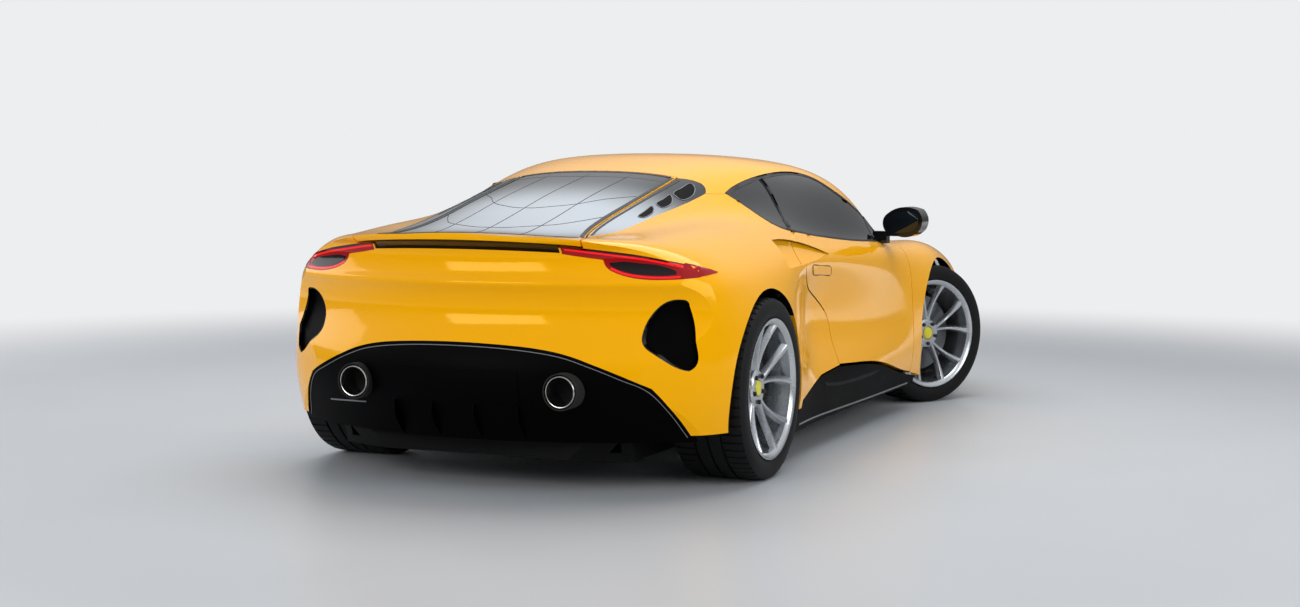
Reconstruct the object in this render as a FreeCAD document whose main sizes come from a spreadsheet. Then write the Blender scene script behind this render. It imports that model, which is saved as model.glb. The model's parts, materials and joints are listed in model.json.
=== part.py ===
import FreeCAD, Part
import math
import os
import Sketcher
from FreeCAD import Placement, Rotation, Vector

# A mid-engined two-seat coupe, parked on its wheels with the front wheels steered to the right.
# X points to the nose, Y to the left side and Z up. The origin is on the ground under the middle of the car.

DOC = FreeCAD.newDocument("coupe")
SHEET = DOC.addObject("Spreadsheet::Sheet", "dims")

DIMENSIONS = [
    ("overall_length", 4412, "nose to tail"),
    ("body_width", 1895, "over the wheel arches, without the mirrors"),
    ("overall_height", 1226, "ground to the crown of the roof"),
    ("wheelbase", 2575, "front axle to rear axle"),
    ("rear_overhang", 810, "rear axle to the tail"),
    ("ground_clearance", 124, "ground to the flat floor"),
    ("front_wheel_y", 805, "middle of the front tyre from the centre plane"),
    ("rear_wheel_y", 792.5, "middle of the rear tyre from the centre plane"),
    ("front_tyre_radius", 340, ""),
    ("front_tyre_width", 245, ""),
    ("rear_tyre_radius", 342.5, ""),
    ("rear_tyre_width", 295, ""),
    ("sidewall_set_in", 4, "sidewall inside the tyre's nominal width"),
    ("shoulder_drop", 9, "height of a tyre's bevelled shoulder"),
    ("shoulder_run", 13, "width of a tyre's bevelled shoulder"),
    ("rim_radius", 266, "outer radius of the rim flange"),
    ("rim_seat_radius", 254, "radius of the bead seat"),
    ("rim_wall", 12, ""),
    ("front_arch_radius", 374, ""),
    ("rear_arch_radius", 378, ""),
    ("kingpin_y", 760, "steering axis from the centre plane"),
    ("steer_rest", 31, "degrees that the front wheels are parked to the right"),
    ("hub_radius", 74, ""),
    ("hub_face", 30, "inner face of a hub from the middle of its tyre"),
    ("hub_recess", 14, "outer end of a hub behind the face of its rim"),
    ("spindle_radius", 28, ""),
    ("disc_hat_radius", 88, ""),
    ("disc_hat_wall", 10, ""),
    ("disc_set_back", 10, "inner face of a disc behind the middle of its tyre"),
    ("front_disc_radius", 185, ""),
    ("rear_disc_radius", 175, ""),
    ("disc_thickness", 28, ""),
    ("panel_wall", 32, "a whole body panel with its inner skin"),
    ("door_wall", 92, "outer skin to inner trim of a door"),
    ("tailgate_hinge_y", 300, "middle of a tailgate hinge from the centre plane"),
    ("glass_wall", 5, ""),
    ("glass_inset", 2, "glass below the skin around it"),
    ("shut_gap", 6, "gap all round each lid and door"),
    ("frame_wall", 30, "floor pan of the tub and of both frames"),
    ("seat_clearance", 0.3, "between a piece and what carries it"),
    ("exhaust_radius", 66, ""),
    ("exhaust_wall", 4, ""),
    ("exhaust_y", 419, ""),
    ("exhaust_z", 390, ""),
    ("steering_wheel_radius", 176, ""),
    ("seat_width", 500, ""),
    ("seat_y", 370, "middle of a seat from the centre plane"),
    ("engine_length", 570, ""),
    ("engine_width", 600, ""),
    ("engine_top", 760, "ground to the top of the engine"),
    ("engine_gap", 146, "rear axle to the back of the engine"),
    ("console_length", 1160, ""),
    ("console_width", 180, ""),
    ("console_top", 430, "ground to the top of the console"),
    ("console_rear", 836, "rear axle to the back of the console"),
]

for row, (name, value, note) in enumerate(DIMENSIONS, start=1):
    SHEET.set("A%d" % row, name)
    SHEET.set("B%d" % row, str(value))
    SHEET.set("C%d" % row, note)
    SHEET.setAlias("B%d" % row, name)
DOC.recompute()


def dim(name):
    """Value of one driving dimension."""
    return float(SHEET.get(name))


# The lines of the body are drawn on a car of these sizes and follow the sheet from there.
DRAWN_LENGTH = 4412.0
DRAWN_WIDTH = 1895.0
DRAWN_HEIGHT = 1226.0
DRAWN_REAR_AXLE = -1396.0
DRAWN_FRONT_AXLE = 1179.0

TAIL_X = -dim("overall_length") / 2
NOSE_X = dim("overall_length") / 2
REAR_AXLE = TAIL_X + dim("rear_overhang")
FRONT_AXLE = REAR_AXLE + dim("wheelbase")


def along(x):
    """Length position of a drawn station on the car of the sheet."""
    if x >= DRAWN_FRONT_AXLE:
        return FRONT_AXLE + (x - DRAWN_FRONT_AXLE) * (NOSE_X - FRONT_AXLE) / (DRAWN_LENGTH / 2 - DRAWN_FRONT_AXLE)
    if x <= DRAWN_REAR_AXLE:
        return REAR_AXLE + (x - DRAWN_REAR_AXLE) * (REAR_AXLE - TAIL_X) / (DRAWN_LENGTH / 2 + DRAWN_REAR_AXLE)
    share = (x - DRAWN_REAR_AXLE) / (DRAWN_FRONT_AXLE - DRAWN_REAR_AXLE)
    return REAR_AXLE + share * dim("wheelbase")


def across(y):
    """Width position of a drawn point on the car of the sheet."""
    return y * dim("body_width") / DRAWN_WIDTH


def up(z):
    """Height of a drawn point on the car of the sheet."""
    return z * dim("overall_height") / DRAWN_HEIGHT


def at(x, y, z):
    """A drawn point on the car of the sheet."""
    return Vector(along(x), across(y), up(z))


def smooth_value(knots, x):
    """Value at x of a smooth line through (x, value) knots that never overshoots them."""
    pts = sorted(knots)
    if x <= pts[0][0]:
        return pts[0][1]
    if x >= pts[-1][0]:
        return pts[-1][1]
    steps = [(b[1] - a[1]) / (b[0] - a[0]) for a, b in zip(pts, pts[1:])]
    slopes = [steps[0]]
    for before, after in zip(steps, steps[1:]):
        slopes.append(0.0 if before * after <= 0 else 2 * before * after / (before + after))
    slopes.append(steps[-1])
    for i, (a, b) in enumerate(zip(pts, pts[1:])):
        if a[0] <= x <= b[0]:
            span = b[0] - a[0]
            t = (x - a[0]) / span
            rise = 3 * t * t - 2 * t * t * t
            lead = (t - 2 * t * t + t * t * t) * span * slopes[i]
            trail = (t * t * t - t * t) * span * slopes[i + 1]
            return a[1] + (b[1] - a[1]) * rise + lead + trail
    return pts[-1][1]


# The body lines, from the hem at the ground to the centre of the roof: (x, y, z) on the left side.
BODY_LINES = [
    # hem
    [(2300, 440, 0), (2100, 600, 0), (1900, 740, 0), (1600, 850, 0), (1179, 880, 0), (600, 850, 0), (-600, 850, 0),
     (-1000, 880, 0), (-1396, 900, 0), (-1700, 870, 0), (-1850, 780, 0), (-2000, 600, 0), (-2300, 150, 0)],
    # rocker
    [(2300, 500, 180), (2100, 670, 180), (1900, 810, 180), (1600, 905, 190), (1179, 925, 190), (750, 898, 180),
     (0, 893, 180), (-700, 893, 180), (-1000, 918, 190), (-1396, 936, 190), (-1650, 922, 190), (-1800, 868, 190),
     (-1900, 780, 190), (-2000, 660, 190), (-2300, 240, 190)],
    # lower flank
    [(2300, 540, 320), (2100, 715, 320), (1900, 850, 320), (1600, 926, 320), (1179, 940, 320), (750, 918, 305),
     (300, 910, 300), (-400, 905, 300), (-800, 905, 310), (-1050, 932, 320), (-1396, 950, 320), (-1650, 942, 320),
     (-1800, 908, 320), (-1900, 830, 320), (-2000, 700, 320), (-2300, 260, 320)],
    # hollow of the doors
    [(2300, 540, 400), (2100, 720, 420), (1900, 856, 430), (1600, 930, 440), (1179, 946, 440), (750, 908, 430),
     (400, 872, 420), (0, 852, 420), (-400, 835, 430), (-700, 835, 440), (-900, 885, 450), (-1050, 926, 460),
     (-1396, 954, 450), (-1650, 946, 450), (-1800, 912, 450), (-1900, 836, 450), (-2000, 706, 450), (-2300, 270, 450)],
    # middle of the doors
    [(2300, 500, 430), (2100, 690, 470), (1900, 835, 520), (1600, 918, 555), (1179, 944, 570), (750, 900, 570),
     (400, 866, 570), (0, 846, 570), (-400, 822, 580), (-700, 808, 590), (-900, 868, 600), (-1050, 920, 600),
     (-1396, 954, 600), (-1650, 940, 600), (-1800, 898, 600), (-1900, 822, 600), (-2000, 700, 600), (-2300, 270, 600)],
    # upper flank
    [(2300, 440, 442), (2100, 620, 505), (1900, 770, 580), (1600, 872, 655), (1179, 912, 705), (750, 885, 690),
     (400, 872, 690), (0, 862, 690), (-400, 850, 700), (-700, 846, 710), (-900, 876, 715), (-1050, 904, 715),
     (-1396, 926, 715), (-1650, 914, 715), (-1800, 882, 710), (-1900, 812, 710), (-2000, 692, 710), (-2300, 270, 710)],
    # shoulder
    [(2300, 380, 448), (2100, 540, 530), (1900, 680, 622), (1600, 790, 720), (1179, 848, 780), (750, 856, 770),
     (400, 862, 772), (0, 866, 778), (-400, 872, 792), (-700, 878, 802), (-1000, 886, 806), (-1396, 890, 802),
     (-1650, 886, 796), (-1800, 866, 794), (-1900, 802, 800), (-2000, 690, 806), (-2300, 270, 806)],
    # crown of the wings and ledge under the windows
    [(2300, 310, 452), (2100, 450, 545), (1900, 570, 643), (1600, 690, 748), (1179, 762, 806), (750, 800, 804),
     (400, 820, 814), (0, 822, 828), (-400, 815, 850), (-700, 806, 874), (-1000, 800, 894), (-1396, 790, 894),
     (-1650, 776, 886), (-1800, 740, 886), (-1900, 690, 894), (-2000, 610, 906), (-2300, 240, 916)],
    # foot of the side glass
    [(2300, 240, 453), (2100, 350, 543), (1900, 450, 636), (1600, 570, 735), (1179, 660, 795), (850, 716, 808),
     (600, 756, 824), (300, 780, 838), (0, 784, 856), (-400, 768, 892), (-700, 740, 934), (-1000, 710, 950),
     (-1396, 680, 950), (-1650, 650, 934), (-1800, 620, 922), (-2000, 520, 922), (-2300, 200, 934)],
    # middle of the side glass
    [(2300, 170, 452), (2100, 250, 538), (1900, 330, 622), (1600, 430, 706), (1179, 520, 772), (900, 620, 806),
     (700, 692, 872), (400, 718, 974), (0, 712, 1048), (-400, 688, 1062), (-700, 646, 1046), (-1000, 592, 1004),
     (-1396, 540, 962), (-1600, 505, 940), (-1800, 460, 926), (-2000, 400, 922), (-2300, 150, 940)],
    # roof rail
    [(2300, 110, 451), (2100, 165, 534), (1900, 220, 612), (1600, 300, 690), (1179, 390, 760), (900, 520, 812),
     (700, 616, 904), (400, 640, 1072), (0, 622, 1178), (-400, 578, 1184), (-700, 536, 1146), (-1000, 482, 1086),
     (-1396, 430, 1010), (-1600, 395, 972), (-1800, 360, 942), (-2000, 300, 926), (-2300, 110, 938)],
    # quarter of the roof
    [(2300, 55, 450), (2100, 82, 531), (1900, 110, 606), (1600, 150, 683), (1179, 200, 754), (900, 280, 818),
     (700, 330, 905), (400, 330, 1080), (0, 320, 1206), (-400, 305, 1226), (-700, 286, 1192), (-1000, 262, 1138),
     (-1396, 235, 1062), (-1800, 200, 966), (-2000, 170, 933), (-2300, 60, 943)],
    # centre of the roof
    [(2300, 0, 450), (2100, 0, 530), (1900, 0, 604), (1600, 0, 680), (1179, 0, 752), (900, 0, 822), (700, 0, 912),
     (400, 0, 1086), (0, 0, 1212), (-400, 0, 1232), (-700, 0, 1200), (-1000, 0, 1146), (-1396, 0, 1070),
     (-1800, 0, 971), (-2000, 0, 936), (-2300, 0, 944)],
]

STATIONS = [2300, 2200, 2100, 2000, 1880, 1740, 1580, 1400, 1179, 1000, 870, 740, 580, 400, 200, -30, -260, -480,
            -680, -840, -1000, -1180, -1396, -1560, -1700, -1800, -1880, -1960, -2060, -2170, -2300]


def clamped_knots(count):
    """Knots and their multiplicities of a clamped cubic with that many poles."""
    inner = count - 4
    return list(range(inner + 2)), [4] + [1] * inner + [4]


def spline_face(poles):
    """Smooth face of a net of poles."""
    u_knots, u_mults = clamped_knots(len(poles))
    v_knots, v_mults = clamped_knots(len(poles[0]))
    surface = Part.BSplineSurface()
    surface.buildFromPolesMultsKnots(poles, u_mults, v_mults, [float(k) for k in u_knots],
                                     [float(k) for k in v_knots], False, False, 3, 3)
    return surface.toShape()


def section(x, inset):
    """Half section of the body at a drawn station, moved inwards by a wall thickness."""
    points = []
    for line in BODY_LINES:
        y = across(smooth_value([(k[0], k[1]) for k in line], x))
        z = up(smooth_value([(k[0], k[2]) for k in line], x))
        points.append((y, z))
    if inset == 0:
        return points
    moved = []
    last = len(points) - 1
    for i, (y, z) in enumerate(points):
        before = points[max(i - 1, 0)]
        after = points[min(i + 1, last)]
        if i == last:
            before, after = points[last - 1], (-points[last - 1][0], points[last - 1][1])
        run_y = after[0] - before[0]
        run_z = after[1] - before[1]
        size = math.hypot(run_y, run_z)
        new_y = y - inset * run_z / size
        new_z = z + inset * run_y / size
        if i == 0:
            new_z = z
        moved.append((max(new_y, 0.0) if i < last else 0.0, new_z))
    return moved


SKINS = {}


def skin(inset):
    """Solid of the whole body without its ends, moved inwards by a wall thickness."""
    if inset in SKINS:
        return SKINS[inset]
    poles = []
    for x in STATIONS:
        half = section(x, inset)
        right = [Vector(along(x), -y, z) for y, z in half]
        left = [Vector(along(x), y, z) for y, z in reversed(half[:-1])]
        poles.append(right + left)
    face = spline_face(poles)
    ends = []
    for corner_a, corner_b in [(poles[0][-1], poles[0][0]), (poles[-1][-1], poles[-1][0])]:
        ends.append(Part.LineSegment(corner_a, corner_b).toShape())
    edges = face.Edges
    front = [e for e in edges if abs(e.BoundBox.XMin - along(STATIONS[0])) < 1][0]
    rear = [e for e in edges if abs(e.BoundBox.XMax - along(STATIONS[-1])) < 1][0]
    hems = [e for e in edges if e.BoundBox.ZMax < 1 and not e.isSame(front) and not e.isSame(rear)]
    front_cap = Part.Face(Part.Wire([front, ends[0]]))
    rear_cap = Part.Face(Part.Wire([rear, ends[1]]))
    floor = Part.Face(Part.Wire(Part.__sortEdges__(hems + ends)))
    shell = Part.Shell([face, front_cap, rear_cap, floor])
    solid = Part.Solid(shell)
    if solid.Volume < 0:
        solid.reverse()
    SKINS[inset] = solid
    return solid


# Rear fascia: centre profile (x, z) and how far it bows forward towards the corners.
TAIL_PROFILE = [(-2060, -60), (-2085, 110), (-2120, 200), (-2165, 290), (-2200, 370), (-2209, 430), (-2202, 490),
                (-2176, 545), (-2148, 595), (-2130, 645), (-2130, 695), (-2146, 738), (-2162, 757), (-2162, 770),
                (-2146, 785), (-2134, 825), (-2130, 865), (-2142, 890), (-2176, 908), (-2184, 928), (-2183, 1010),
                (-2182, 1200)]
TAIL_BOW = 0.393e-3
NOSE_PROFILE = [(2130, -60), (2165, 100), (2190, 180), (2204, 260), (2206, 340), (2200, 420), (2170, 490),
                (2110, 560), (2020, 640), (1900, 760)]
WIDTH_STATIONS = [-1250, -1000, -850, -700, -500, -250, 0, 250, 500, 700, 850, 1000, 1250]


def tail_bow(y):
    return TAIL_BOW * y * y


def nose_bow(y):
    return -0.3e-3 * y * y - 0.42e-9 * y ** 4


def end_cutter(profile, bow, inset):
    """Everything beyond the front or rear fascia, moved inwards by a wall thickness."""
    ahead = 1 if profile[0][0] > 0 else -1
    poles = []
    for x, z in profile:
        poles.append([at(x + bow(y), y, z) - Vector(ahead * inset, 0, 0) for y in WIDTH_STATIONS])
    return spline_face(poles).extrude(Vector(ahead * 900, 0, 0))


BODIES = {}


def body(inset):
    """Solid of the whole body with its ends, moved inwards by a wall thickness."""
    if inset not in BODIES:
        tail = end_cutter(TAIL_PROFILE, tail_bow, inset)
        nose = end_cutter(NOSE_PROFILE, nose_bow, inset)
        BODIES[inset] = skin(inset).cut(tail).cut(nose)
    return BODIES[inset]


def outline(runs, plane, level):
    """Closed wire of drawn runs; a run of two points is straight and a longer one is a smooth curve."""
    place = {
        "side": lambda a, b: Vector(along(a), level, up(b)),
        "plan": lambda a, b: Vector(along(a), across(b), level),
        "front": lambda a, b: Vector(level, across(a), up(b)),
    }[plane]
    edges = []
    for run in runs:
        points = [place(a, b) for a, b in run]
        if len(points) == 2:
            edges.append(Part.LineSegment(points[0], points[1]).toShape())
        else:
            curve = Part.BSplineCurve()
            curve.interpolate(points)
            edges.append(curve.toShape())
    return Part.Wire(edges)


def polygon(points):
    """Runs of straight lines round the points."""
    return [[a, b] for a, b in zip(points, points[1:] + points[:1])]


def carried(wire, way, grow):
    """Solid of an outline, grown by a gap all round, carried along a way."""
    if grow:
        wire = Part.Wire(Part.__sortEdges__(wire.makeOffset2D(grow).toNurbs().Edges))
    solid = Part.Face(wire).extrude(way)
    if solid.Volume < 0:
        solid.reverse()
    return solid


def side_prism(runs, y0, y1, grow=0.0):
    """Side outline carried across the car from y0 to y1."""
    return carried(outline(runs, "side", y0), Vector(0, y1 - y0, 0), grow)


def plan_prism(runs, z0, z1, grow=0.0):
    """Plan outline carried from z0 to z1."""
    return carried(outline(runs, "plan", z0), Vector(0, 0, z1 - z0), grow)


def front_prism(runs, x0, x1, grow=0.0):
    """Outline seen from the front carried from x0 to x1."""
    return carried(outline(runs, "front", x0), Vector(x1 - x0, 0, 0), grow)


def mirrored(shape):
    """The same shape on the other side of the car."""
    return shape.mirror(Vector(0, 0, 0), Vector(0, 1, 0))


def both(shape):
    """A shape of the right side together with its mirror."""
    return Part.Compound([shape, mirrored(shape)])


def layer(outer, inner, region):
    """Part of the body between two depths below its skin, inside a region."""
    return region.common(body(outer)).cut(body(inner))


GAP = dim("shut_gap")
HINGE_DEPTH = 12
WALL = dim("panel_wall")
OUTSIDE = -dim("body_width")

# Outlines seen from the right side: (x, z).
DOOR_TOP = [(-690, 905), (-400, 874), (0, 842), (350, 824), (700, 812)]
DOOR_FRONT = [(700, 812), (704, 640), (694, 430), (668, 198)]
DOOR_FOOT = [(668, 198), (560, 213), (386, 249), (166, 292), (-100, 318), (-385, 336)]
DOOR_REAR = [(-385, 336), (-388, 450), (-402, 530), (-460, 578), (-620, 648), (-770, 716), (-808, 760), (-812, 810),
             (-780, 866), (-690, 905)]
DOOR = [DOOR_TOP, DOOR_FRONT, DOOR_FOOT, DOOR_REAR]

WINDOW_TIP = (-900, 1064)
WINDOW_FRONT = DOOR_TOP[-1]
WINDOW_TOP = [WINDOW_TIP, (-780, 1097), (-560, 1134), (-300, 1149), (-100, 1130), (110, 1060), (300, 1000),
              (474, 942), (600, 872), WINDOW_FRONT]
WINDOW_REAR = [DOOR_TOP[0], (-800, 926), (-852, 957), (-876, 1005), WINDOW_TIP]
WINDOW = [WINDOW_TOP, DOOR_TOP[::-1], WINDOW_REAR]
DIVIDER_TOP = (-542, 1200)
DIVIDER_FOOT = (-711, 860)

# Air intake behind the door: its outline on the flank and the slant of its floor.
SCOOP = [
    [(-1040, 886), (-895, 883), (-707, 859), (-465, 806)],
    [(-465, 806), (-640, 791), (-815, 782), (-1074, 778)],
    [(-1074, 778), (-1062, 845), (-1040, 886)],
]
SCOOP_TIP = (-465, -853, 800)
SCOOP_DEEPENING = 0.046
SCOOP_LEAN = 0.69

WINDSCREEN = [
    [(790, -658), (850, -480), (890, -240), (900, 0), (890, 240), (850, 480), (790, 658)],
    [(790, 658), (620, 622), (420, 580), (210, 540)],
    [(210, 540), (262, 300), (278, 0), (262, -300), (210, -540)],
    [(210, -540), (420, -580), (620, -622), (790, -658)],
]
TAILGATE = [
    [(-941, -356), (-952, -170), (-954, 0), (-952, 170), (-941, 356)],
    [(-941, 356), (-1150, 357), (-1400, 355), (-1600, 352), (-1750, 362), (-1880, 392), (-1990, 436), (-2150, 470),
     (-2400, 490)],
    [(-2400, 490), (-2400, -490)],
    [(-2400, -490), (-2150, -470), (-1990, -436), (-1880, -392), (-1750, -362), (-1600, -352), (-1400, -355),
     (-1150, -357), (-941, -356)],
]
REAR_GLASS = [
    [(-958, -338), (-967, -170), (-969, 0), (-967, 170), (-958, 338)],
    [(-958, 338), (-1150, 340), (-1400, 338), (-1600, 334), (-1750, 344), (-1880, 374), (-1965, 404)],
    [(-1965, 404), (-2010, 250), (-2030, 0), (-2010, -250), (-1965, -404)],
    [(-1965, -404), (-1880, -374), (-1750, -344), (-1600, -334), (-1400, -338), (-1150, -340), (-958, -338)],
]
LOUVRE_TRIM = [
    [(-948, -362), (-1150, -363), (-1400, -361), (-1600, -358), (-1750, -369), (-1900, -408)],
    [(-1900, -408), (-1724, -448), (-1591, -457), (-1409, -470), (-1274, -484), (-1102, -498), (-1003, -504)],
    [(-1003, -504), (-955, -488), (-925, -455), (-921, -425), (-948, -362)],
]
BONNET = [
    [(935, -560), (968, -300), (980, 0), (968, 300), (935, 560)],
    [(935, 560), (1300, 560), (1650, 490), (1900, 380)],
    [(1900, 380), (1990, 200), (2012, 0), (1990, -200), (1900, -380)],
    [(1900, -380), (1650, -490), (1300, -560), (935, -560)],
]
HEADLAMP = [
    [(1560, -765), (1720, -660), (1900, -590), (2010, -560)],
    [(2010, -560), (1985, -640), (1900, -735), (1790, -800)],
    [(1790, -800), (1660, -800), (1560, -765)],
]
GREENHOUSE = polygon([(1100, 822), (742, 822), (-905, 1062), (-1006, 1064), (-1006, 1500), (1100, 1500)])
FRONT_BODY = polygon([(2500, 165), (2500, 1500), (1100, 1500), (1100, 821), (742, 821), (560, 840), (560, 300),
                      (664, 300), (664, 192), (805, 172), (805, 165)])
REAR_BODY = polygon([(-2500, 222), (-2500, 1500), (-1008, 1500), (-1008, 1063), (-905, 1061), (-330, 960),
                     (-330, 340), (-391, 332), (-660, 318), (-985, 252), (-1000, 222)])
DIFFUSER = [
    [(-806, 200), (-760, 310), (-700, 398)],
    [(-700, 398), (-615, 440), (-502, 487)],
    [(-502, 487), (-380, 525), (-200, 546), (0, 552), (200, 546), (380, 525), (502, 487)],
    [(502, 487), (615, 440), (700, 398)],
    [(700, 398), (760, 310), (806, 200)],
    [(806, 200), (806, 0)],
    [(806, 0), (-806, 0)],
    [(-806, 0), (-806, 200)],
]
VENT = [
    [(-772, 708), (-722, 699), (-686, 668), (-660, 620), (-655, 570)],
    [(-655, 570), (-672, 540), (-712, 512), (-765, 473), (-805, 456)],
    [(-805, 456), (-826, 474), (-828, 540), (-812, 620), (-794, 684)],
    [(-794, 684), (-786, 704), (-772, 708)],
]
LAMP_BAND = [
    [(-376, 898), (0, 910), (376, 898)],
    [(376, 898), (376, 872)],
    [(376, 872), (0, 881), (-376, 872)],
    [(-376, 872), (-376, 898)],
]
TAIL_LAMP = [
    [(-382, 898), (-430, 893), (-535, 880), (-643, 864), (-723, 846), (-803, 824), (-880, 799)],
    [(-880, 799), (-833, 787), (-772, 780), (-704, 778)],
    [(-704, 778), (-649, 781), (-593, 792), (-546, 811)],
    [(-546, 811), (-528, 828), (-520, 848)],
    [(-520, 848), (-448, 858), (-382, 868)],
    [(-382, 868), (-382, 898)],
]
GRILLE = [
    [(-330, 215), (-390, 300), (-330, 385)],
    [(-330, 385), (0, 400), (330, 385)],
    [(330, 385), (390, 300), (330, 215)],
    [(330, 215), (0, 205), (-330, 215)],
]
SIDE_INTAKE = [
    [(-480, 225), (-455, 330), (-520, 420)],
    [(-520, 420), (-680, 440), (-760, 400)],
    [(-760, 400), (-790, 300), (-700, 215), (-480, 225)],
]

PIECES = []
SLIVER = 150000


def keep(name, shape):
    """Adds a freely shaped solid to the car."""
    solids = [s for s in shape.Solids if s.Volume > SLIVER]
    joined = solids[0] if len(solids) == 1 else Part.Compound(solids)
    piece = DOC.addObject("Part::Feature", name)
    piece.Label = name
    piece.Shape = joined
    PIECES.append(piece)
    return piece


def box(x0, x1, y0, y1, z0, z1):
    """Box between drawn limits."""
    low = at(x0, y0, z0)
    high = at(x1, y1, z1)
    return Part.makeBox(high.x - low.x, high.y - low.y, high.z - low.z, low)


def arch_cutter(x, y_in, radius, z):
    """Round wheel house of one side, from its inner wall out."""
    right = Part.makeCylinder(radius, 2000, Vector(x, -y_in, z), Vector(0, -1, 0))
    return both(right)


arches = [
    arch_cutter(FRONT_AXLE, 480, dim("front_arch_radius"), dim("front_tyre_radius")),
    arch_cutter(REAR_AXLE, 620, dim("rear_arch_radius"), dim("rear_tyre_radius")),
]

door_opening = both(side_prism(DOOR, OUTSIDE, -300, GAP))
window_opening = both(side_prism(WINDOW, OUTSIDE, -300))
windscreen_opening = plan_prism(WINDSCREEN, 600, 1500)
tailgate_opening = plan_prism(TAILGATE, up(890), 1500, GAP)
bonnet_opening = plan_prism(BONNET, 300, 1200, GAP)
headlamp_opening = both(plan_prism(HEADLAMP, up(500), 1200))
louvre_opening = both(plan_prism(LOUVRE_TRIM, 850, 1400))
fascia = end_cutter(TAIL_PROFILE, tail_bow, WALL)
deep_fascia = end_cutter(TAIL_PROFILE, tail_bow, WALL + GAP)
lamp_opening = both(front_prism(TAIL_LAMP, -2600, -1700).common(fascia))
band_opening = front_prism(LAMP_BAND, -2600, -1900).common(fascia)


def scoop_floor(x, z):
    """Point of the slanted floor of the air intake on the right side."""
    tip_x, tip_y, tip_z = SCOOP_TIP
    return at(x, tip_y + SCOOP_DEEPENING * (tip_x - x) + SCOOP_LEAN * (z - tip_z), z)


floor_corners = [scoop_floor(x, z) for x, z in [(-380, 740), (-380, 930), (-1120, 930), (-1120, 740)]]
outside_floor = Part.Face(Part.makePolygon(floor_corners + floor_corners[:1])).extrude(Vector(0, -600, 0))
scoop = side_prism(SCOOP, OUTSIDE, -600).common(outside_floor)
scoop_block = box(-1090, -826, -900, -725, 768, 892).common(body(GAP))

roof = layer(0, WALL, side_prism(GREENHOUSE, OUTSIDE, -OUTSIDE))
roof = roof.cut(window_opening).cut(windscreen_opening).cut(tailgate_opening).cut(louvre_opening)
tailgate_seat = plan_prism(TAILGATE, up(890), 1500, dim("seat_clearance"))
for way in (-1, 1):
    middle = way * dim("tailgate_hinge_y")
    strap = polygon([(-975, middle - 30), (-915, middle - 30), (-915, middle + 30), (-975, middle + 30)])
    roof = roof.fuse(layer(HINGE_DEPTH, WALL, plan_prism(strap, 900, 1500)).cut(tailgate_seat))
keep("roof_frame", roof.removeSplitter())

front = layer(0, WALL, side_prism(FRONT_BODY, OUTSIDE, -OUTSIDE)).cut(door_opening)
front = front.cut(windscreen_opening).cut(bonnet_opening).cut(headlamp_opening).cut(window_opening).cut(arches[0])
front = front.cut(front_prism(GRILLE, 1500, 2500)).cut(both(front_prism(SIDE_INTAKE, 1400, 2500)))
keep("front_clam", front)

rear = layer(0, WALL, side_prism(REAR_BODY, OUTSIDE, -OUTSIDE)).fuse([scoop_block, mirrored(scoop_block)])
rear = rear.cut(both(scoop)).cut(door_opening).cut(window_opening)
rear = rear.cut(tailgate_opening).cut(louvre_opening).cut(arches[1])
rear = rear.cut(front_prism(DIFFUSER, -2600, -1700)).cut(both(front_prism(VENT, -2600, -1700)))
rear = rear.cut(lamp_opening).cut(band_opening)
keep("rear_clam", rear.removeSplitter())

keep("windscreen", layer(dim("glass_inset"), dim("glass_inset") + dim("glass_wall"),
                         plan_prism(WINDSCREEN, 600, 1500, -dim("seat_clearance"))))
keep("bonnet", layer(0, WALL, plan_prism(BONNET, 300, 1200)))

tailgate = layer(0, WALL, plan_prism(TAILGATE, up(896), 1500))
tailgate = tailgate.cut(plan_prism(REAR_GLASS, 700, 1500))
tailgate = tailgate.cut(front_prism(LAMP_BAND, -2600, -1900, GAP).common(deep_fascia))
tailgate = tailgate.cut(both(front_prism(TAIL_LAMP, -2600, -1700, GAP).common(deep_fascia)))
keep("tailgate", tailgate)
keep("rear_glass", layer(dim("glass_inset"), dim("glass_inset") + dim("glass_wall"),
                         plan_prism(REAR_GLASS, 700, 1500, -dim("seat_clearance"))))

door_solid = side_prism(DOOR, OUTSIDE, -300)
door_pane = side_prism(WINDOW, OUTSIDE, -300, -GAP)
door_pane.translate(Vector(0, 0, -GAP))
quarter_pane = side_prism(WINDOW, OUTSIDE, -300, -dim("seat_clearance"))
ahead_of_divider = side_prism(polygon([(1200, 1300), DIVIDER_TOP, DIVIDER_FOOT, (1200, 700)]), OUTSIDE, -300)
behind_divider = side_prism(polygon([(-1300, 1300), (-558, 1200), (-727, 860), (-1300, 860)]), OUTSIDE, -300)
door = layer(0, dim("door_wall"), door_solid).cut(scoop)
door_glass = layer(dim("glass_inset"), dim("glass_inset") + dim("glass_wall"), door_pane.common(ahead_of_divider))
quarter = layer(dim("glass_inset"), dim("glass_inset") + dim("glass_wall"), quarter_pane.common(behind_divider))
keep("door_right", door)
keep("door_left", mirrored(door))
keep("door_glass_right", door_glass)
keep("door_glass_left", mirrored(door_glass))
keep("quarter_glass", both(quarter))

keep("louvre_trims", both(layer(1, WALL, plan_prism(LOUVRE_TRIM, 850, 1400))))
keep("headlamps", both(layer(1, WALL, plan_prism(HEADLAMP, up(500), 1200))))
keep("tail_lamps", layer(3, WALL, lamp_opening))
keep("lamp_band", layer(8, WALL, band_opening))
keep("vent_inserts", both(layer(25, 45, front_prism(VENT, -2600, -1700))))


def value(expression):
    """Number that an expression of the sheet gives now."""
    return float(SHEET.evalExpression(expression))


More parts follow.
